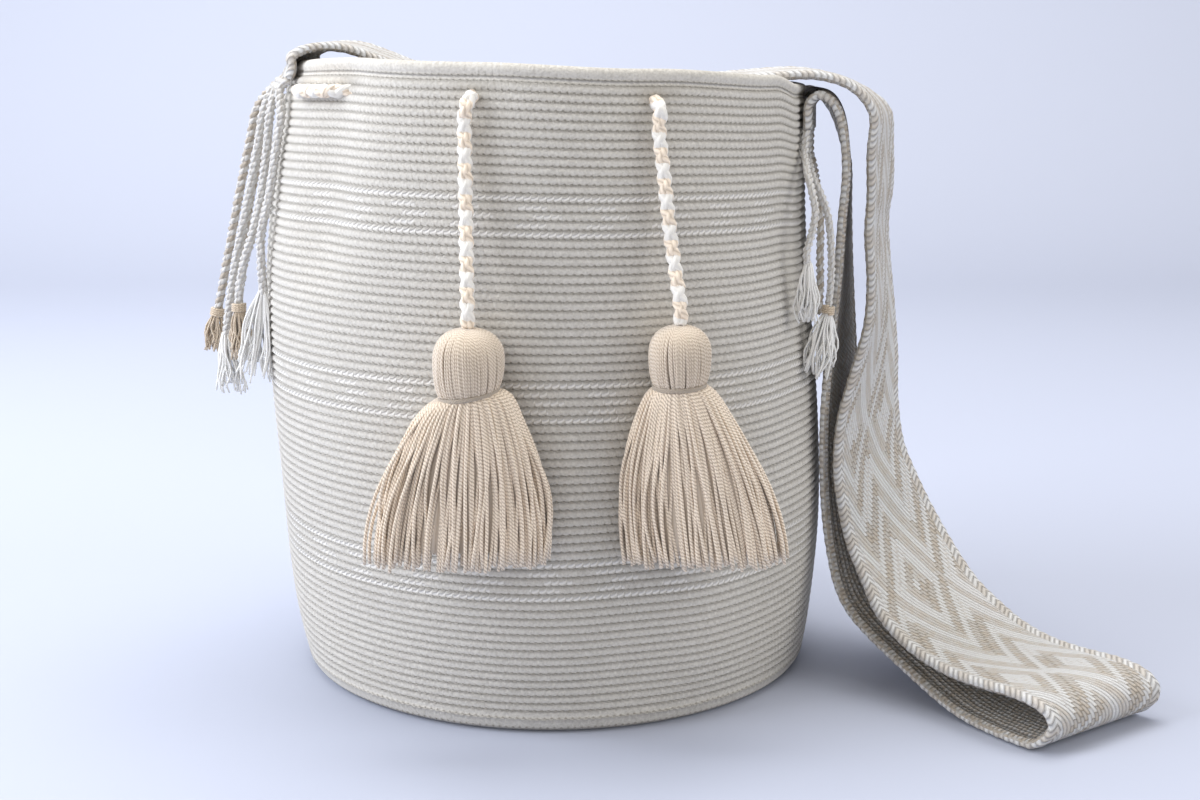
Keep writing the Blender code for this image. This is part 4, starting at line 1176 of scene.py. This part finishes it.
class BagSizes(bpy.types.PropertyGroup):
    segments: IntProperty(name="Segments", description="Columns around the body", default=192, min=32)
    stitches: IntProperty(name="Stitches", description="Stitches in one round", default=252, min=40)
    stitch_depth: length_property("Stitch Depth", "Relief of a crochet stitch", 0.0011)
    braid_pitch: length_property("Braid Pitch", "Length of one full turn of a braid strand", 0.0133)
    yarn_radius: length_property("Yarn Radius", "Radius of a yarn in a tassel's skirt", 0.00080)
    head_yarn_radius: length_property("Head Yarn Radius", "Radius of a yarn on a tassel's head", 0.00068)
    diamond_length: length_property("Diamond Length", "Length of one diamond repeat on the strap", 0.170)
    diamond_place: length_property("Diamond Place", "Middle of one diamond, along the strap", 0.532)
    diamond_centre: length_property("Diamond Centre", "Middle line of the diamonds from one edge", 0.0338)
    diamond_width: length_property("Diamond Half Width", "From a diamond's middle line to its corner", 0.0194)
    stripe_length: length_property("Stripe Length", "Cream and taupe stripe along the strap", 0.0220)
    cream_share: share_property("Cream Share", "Share of the strap's stripes that is cream", 0.50)
    stitch_width: length_property("Strap Stitch Width", "Width of a slanted strap stitch", 0.0024)
    stitch_length: length_property("Strap Stitch Length", "Length of a slanted strap stitch", 0.0042)
    stitch_slant: share_property("Strap Stitch Slant", "Sideways run of a stitch per length", 0.60)
    plait_pitch: length_property("Plait Pitch", "Spacing of the stitches in the strap's edges", 0.0030)
    lens: FloatProperty(name="Lens", description="Focal length of the camera in millimetres", default=54.15)
    key_power: power_property("Key Power", "Power of the left softbox", 44.0)
    front_power: power_property("Front Power", "Power of the front softbox", 6.5)
    side_power: power_property("Side Power", "Power of the right softbox", 13.0)
    top_power: power_property("Top Power", "Power of the top softbox", 42.0)
    world_strength: share_property("World Strength", "Strength of the even light", 0.50)
    # The paper's lightening far behind is painted light.
    paper_painted_light: share_property("Paper Lift", "How much lighter the paper gets far behind", 0.26)
    key_colour: colour_property("Key Colour", "Colour of the left softbox", (0.88, 0.92, 1.0))
    world_colour: colour_property("World Colour", "Colour of the even light", (1.0, 0.97, 0.92))
    cotton: colour_property("Cotton", "Crochet cotton in full light", (0.69, 0.66, 0.605))
    # Dark cotton colour: painted shade in the row grooves, the stitch holes and above the eyelets, and also
    # the colour of the fibre and clump flecks.
    groove_shade: colour_property("Groove", "Crochet cotton between the rows", (0.29, 0.265, 0.225))
    bright: colour_property("Bright Cotton", "Brightest stitches and cord strands", (0.86, 0.83, 0.78))
    white_shadow: colour_property("White Shadow", "White strands between their threads", (0.52, 0.5, 0.46))
    yarn: colour_property("Tassel Yarn", "Beige tassel yarn", (0.95, 0.82, 0.675))
    yarn_shadow: colour_property("Yarn Shadow", "Beige yarn between its plies", (0.44, 0.34, 0.24))
    strap_cream: colour_property("Strap Cream", "Cream threads of the strap", (0.68, 0.675, 0.665))
    taupe: colour_property("Strap Taupe", "Taupe threads of the strap", (0.52, 0.46, 0.39))
    # Painted shade colour of the strap and the taupe fringe cords, also the darkest fibre flecks.
    taupe_shadow: colour_property("Strap Shadow", "Strap threads in their crossings", (0.25, 0.215, 0.17))
    loose: colour_property("Loose Yarn", "White frayed yarns of the fringe", (0.94, 0.93, 0.90))
    tan: colour_property("Tan Thread", "Tan tying thread", (0.7, 0.58, 0.44))
    paper_left: colour_property("Paper Left", "Studio paper on the left", (0.455, 0.485, 0.58))
    # The right paper colour is darker than the left: painted shade where the light falls off to the right.
    paper_right_painted_shade: colour_property("Paper Right", "Studio paper on the right", (0.43, 0.455, 0.54))


class BAG_PT_dresser(bpy.types.Panel):
    """Buttons and values for the bag"""
    bl_idname = "BAG_PT_dresser"
    bl_label = "Crocheted Bag"
    bl_space_type = "VIEW_3D"
    bl_region_type = "UI"
    bl_category = "Bag"

    def draw(self, context):
        for name in BagSizes.__annotations__:
            self.layout.prop(context.scene.bag_sizes, name)
        for operator in OPERATORS:
            self.layout.operator(operator.bl_idname)


OPERATORS = (BAG_OT_studio, BAG_OT_tassels, BAG_OT_drawstring, BAG_OT_crochet, BAG_OT_strap, BAG_OT_fringe)
CLASSES = (BagSizes, *OPERATORS, BAG_PT_dresser)


def register():
    for item in CLASSES:
        bpy.utils.register_class(item)
    bpy.types.Scene.bag_sizes = PointerProperty(type=BagSizes)


def unregister():
    del bpy.types.Scene.bag_sizes
    for item in reversed(CLASSES):
        bpy.utils.unregister_class(item)


def main():
    register()
    for operator in OPERATORS:
        name = operator.bl_idname.split(".")[1]
        getattr(bpy.ops.bag, name)()


if __name__ == "__main__":
    main()
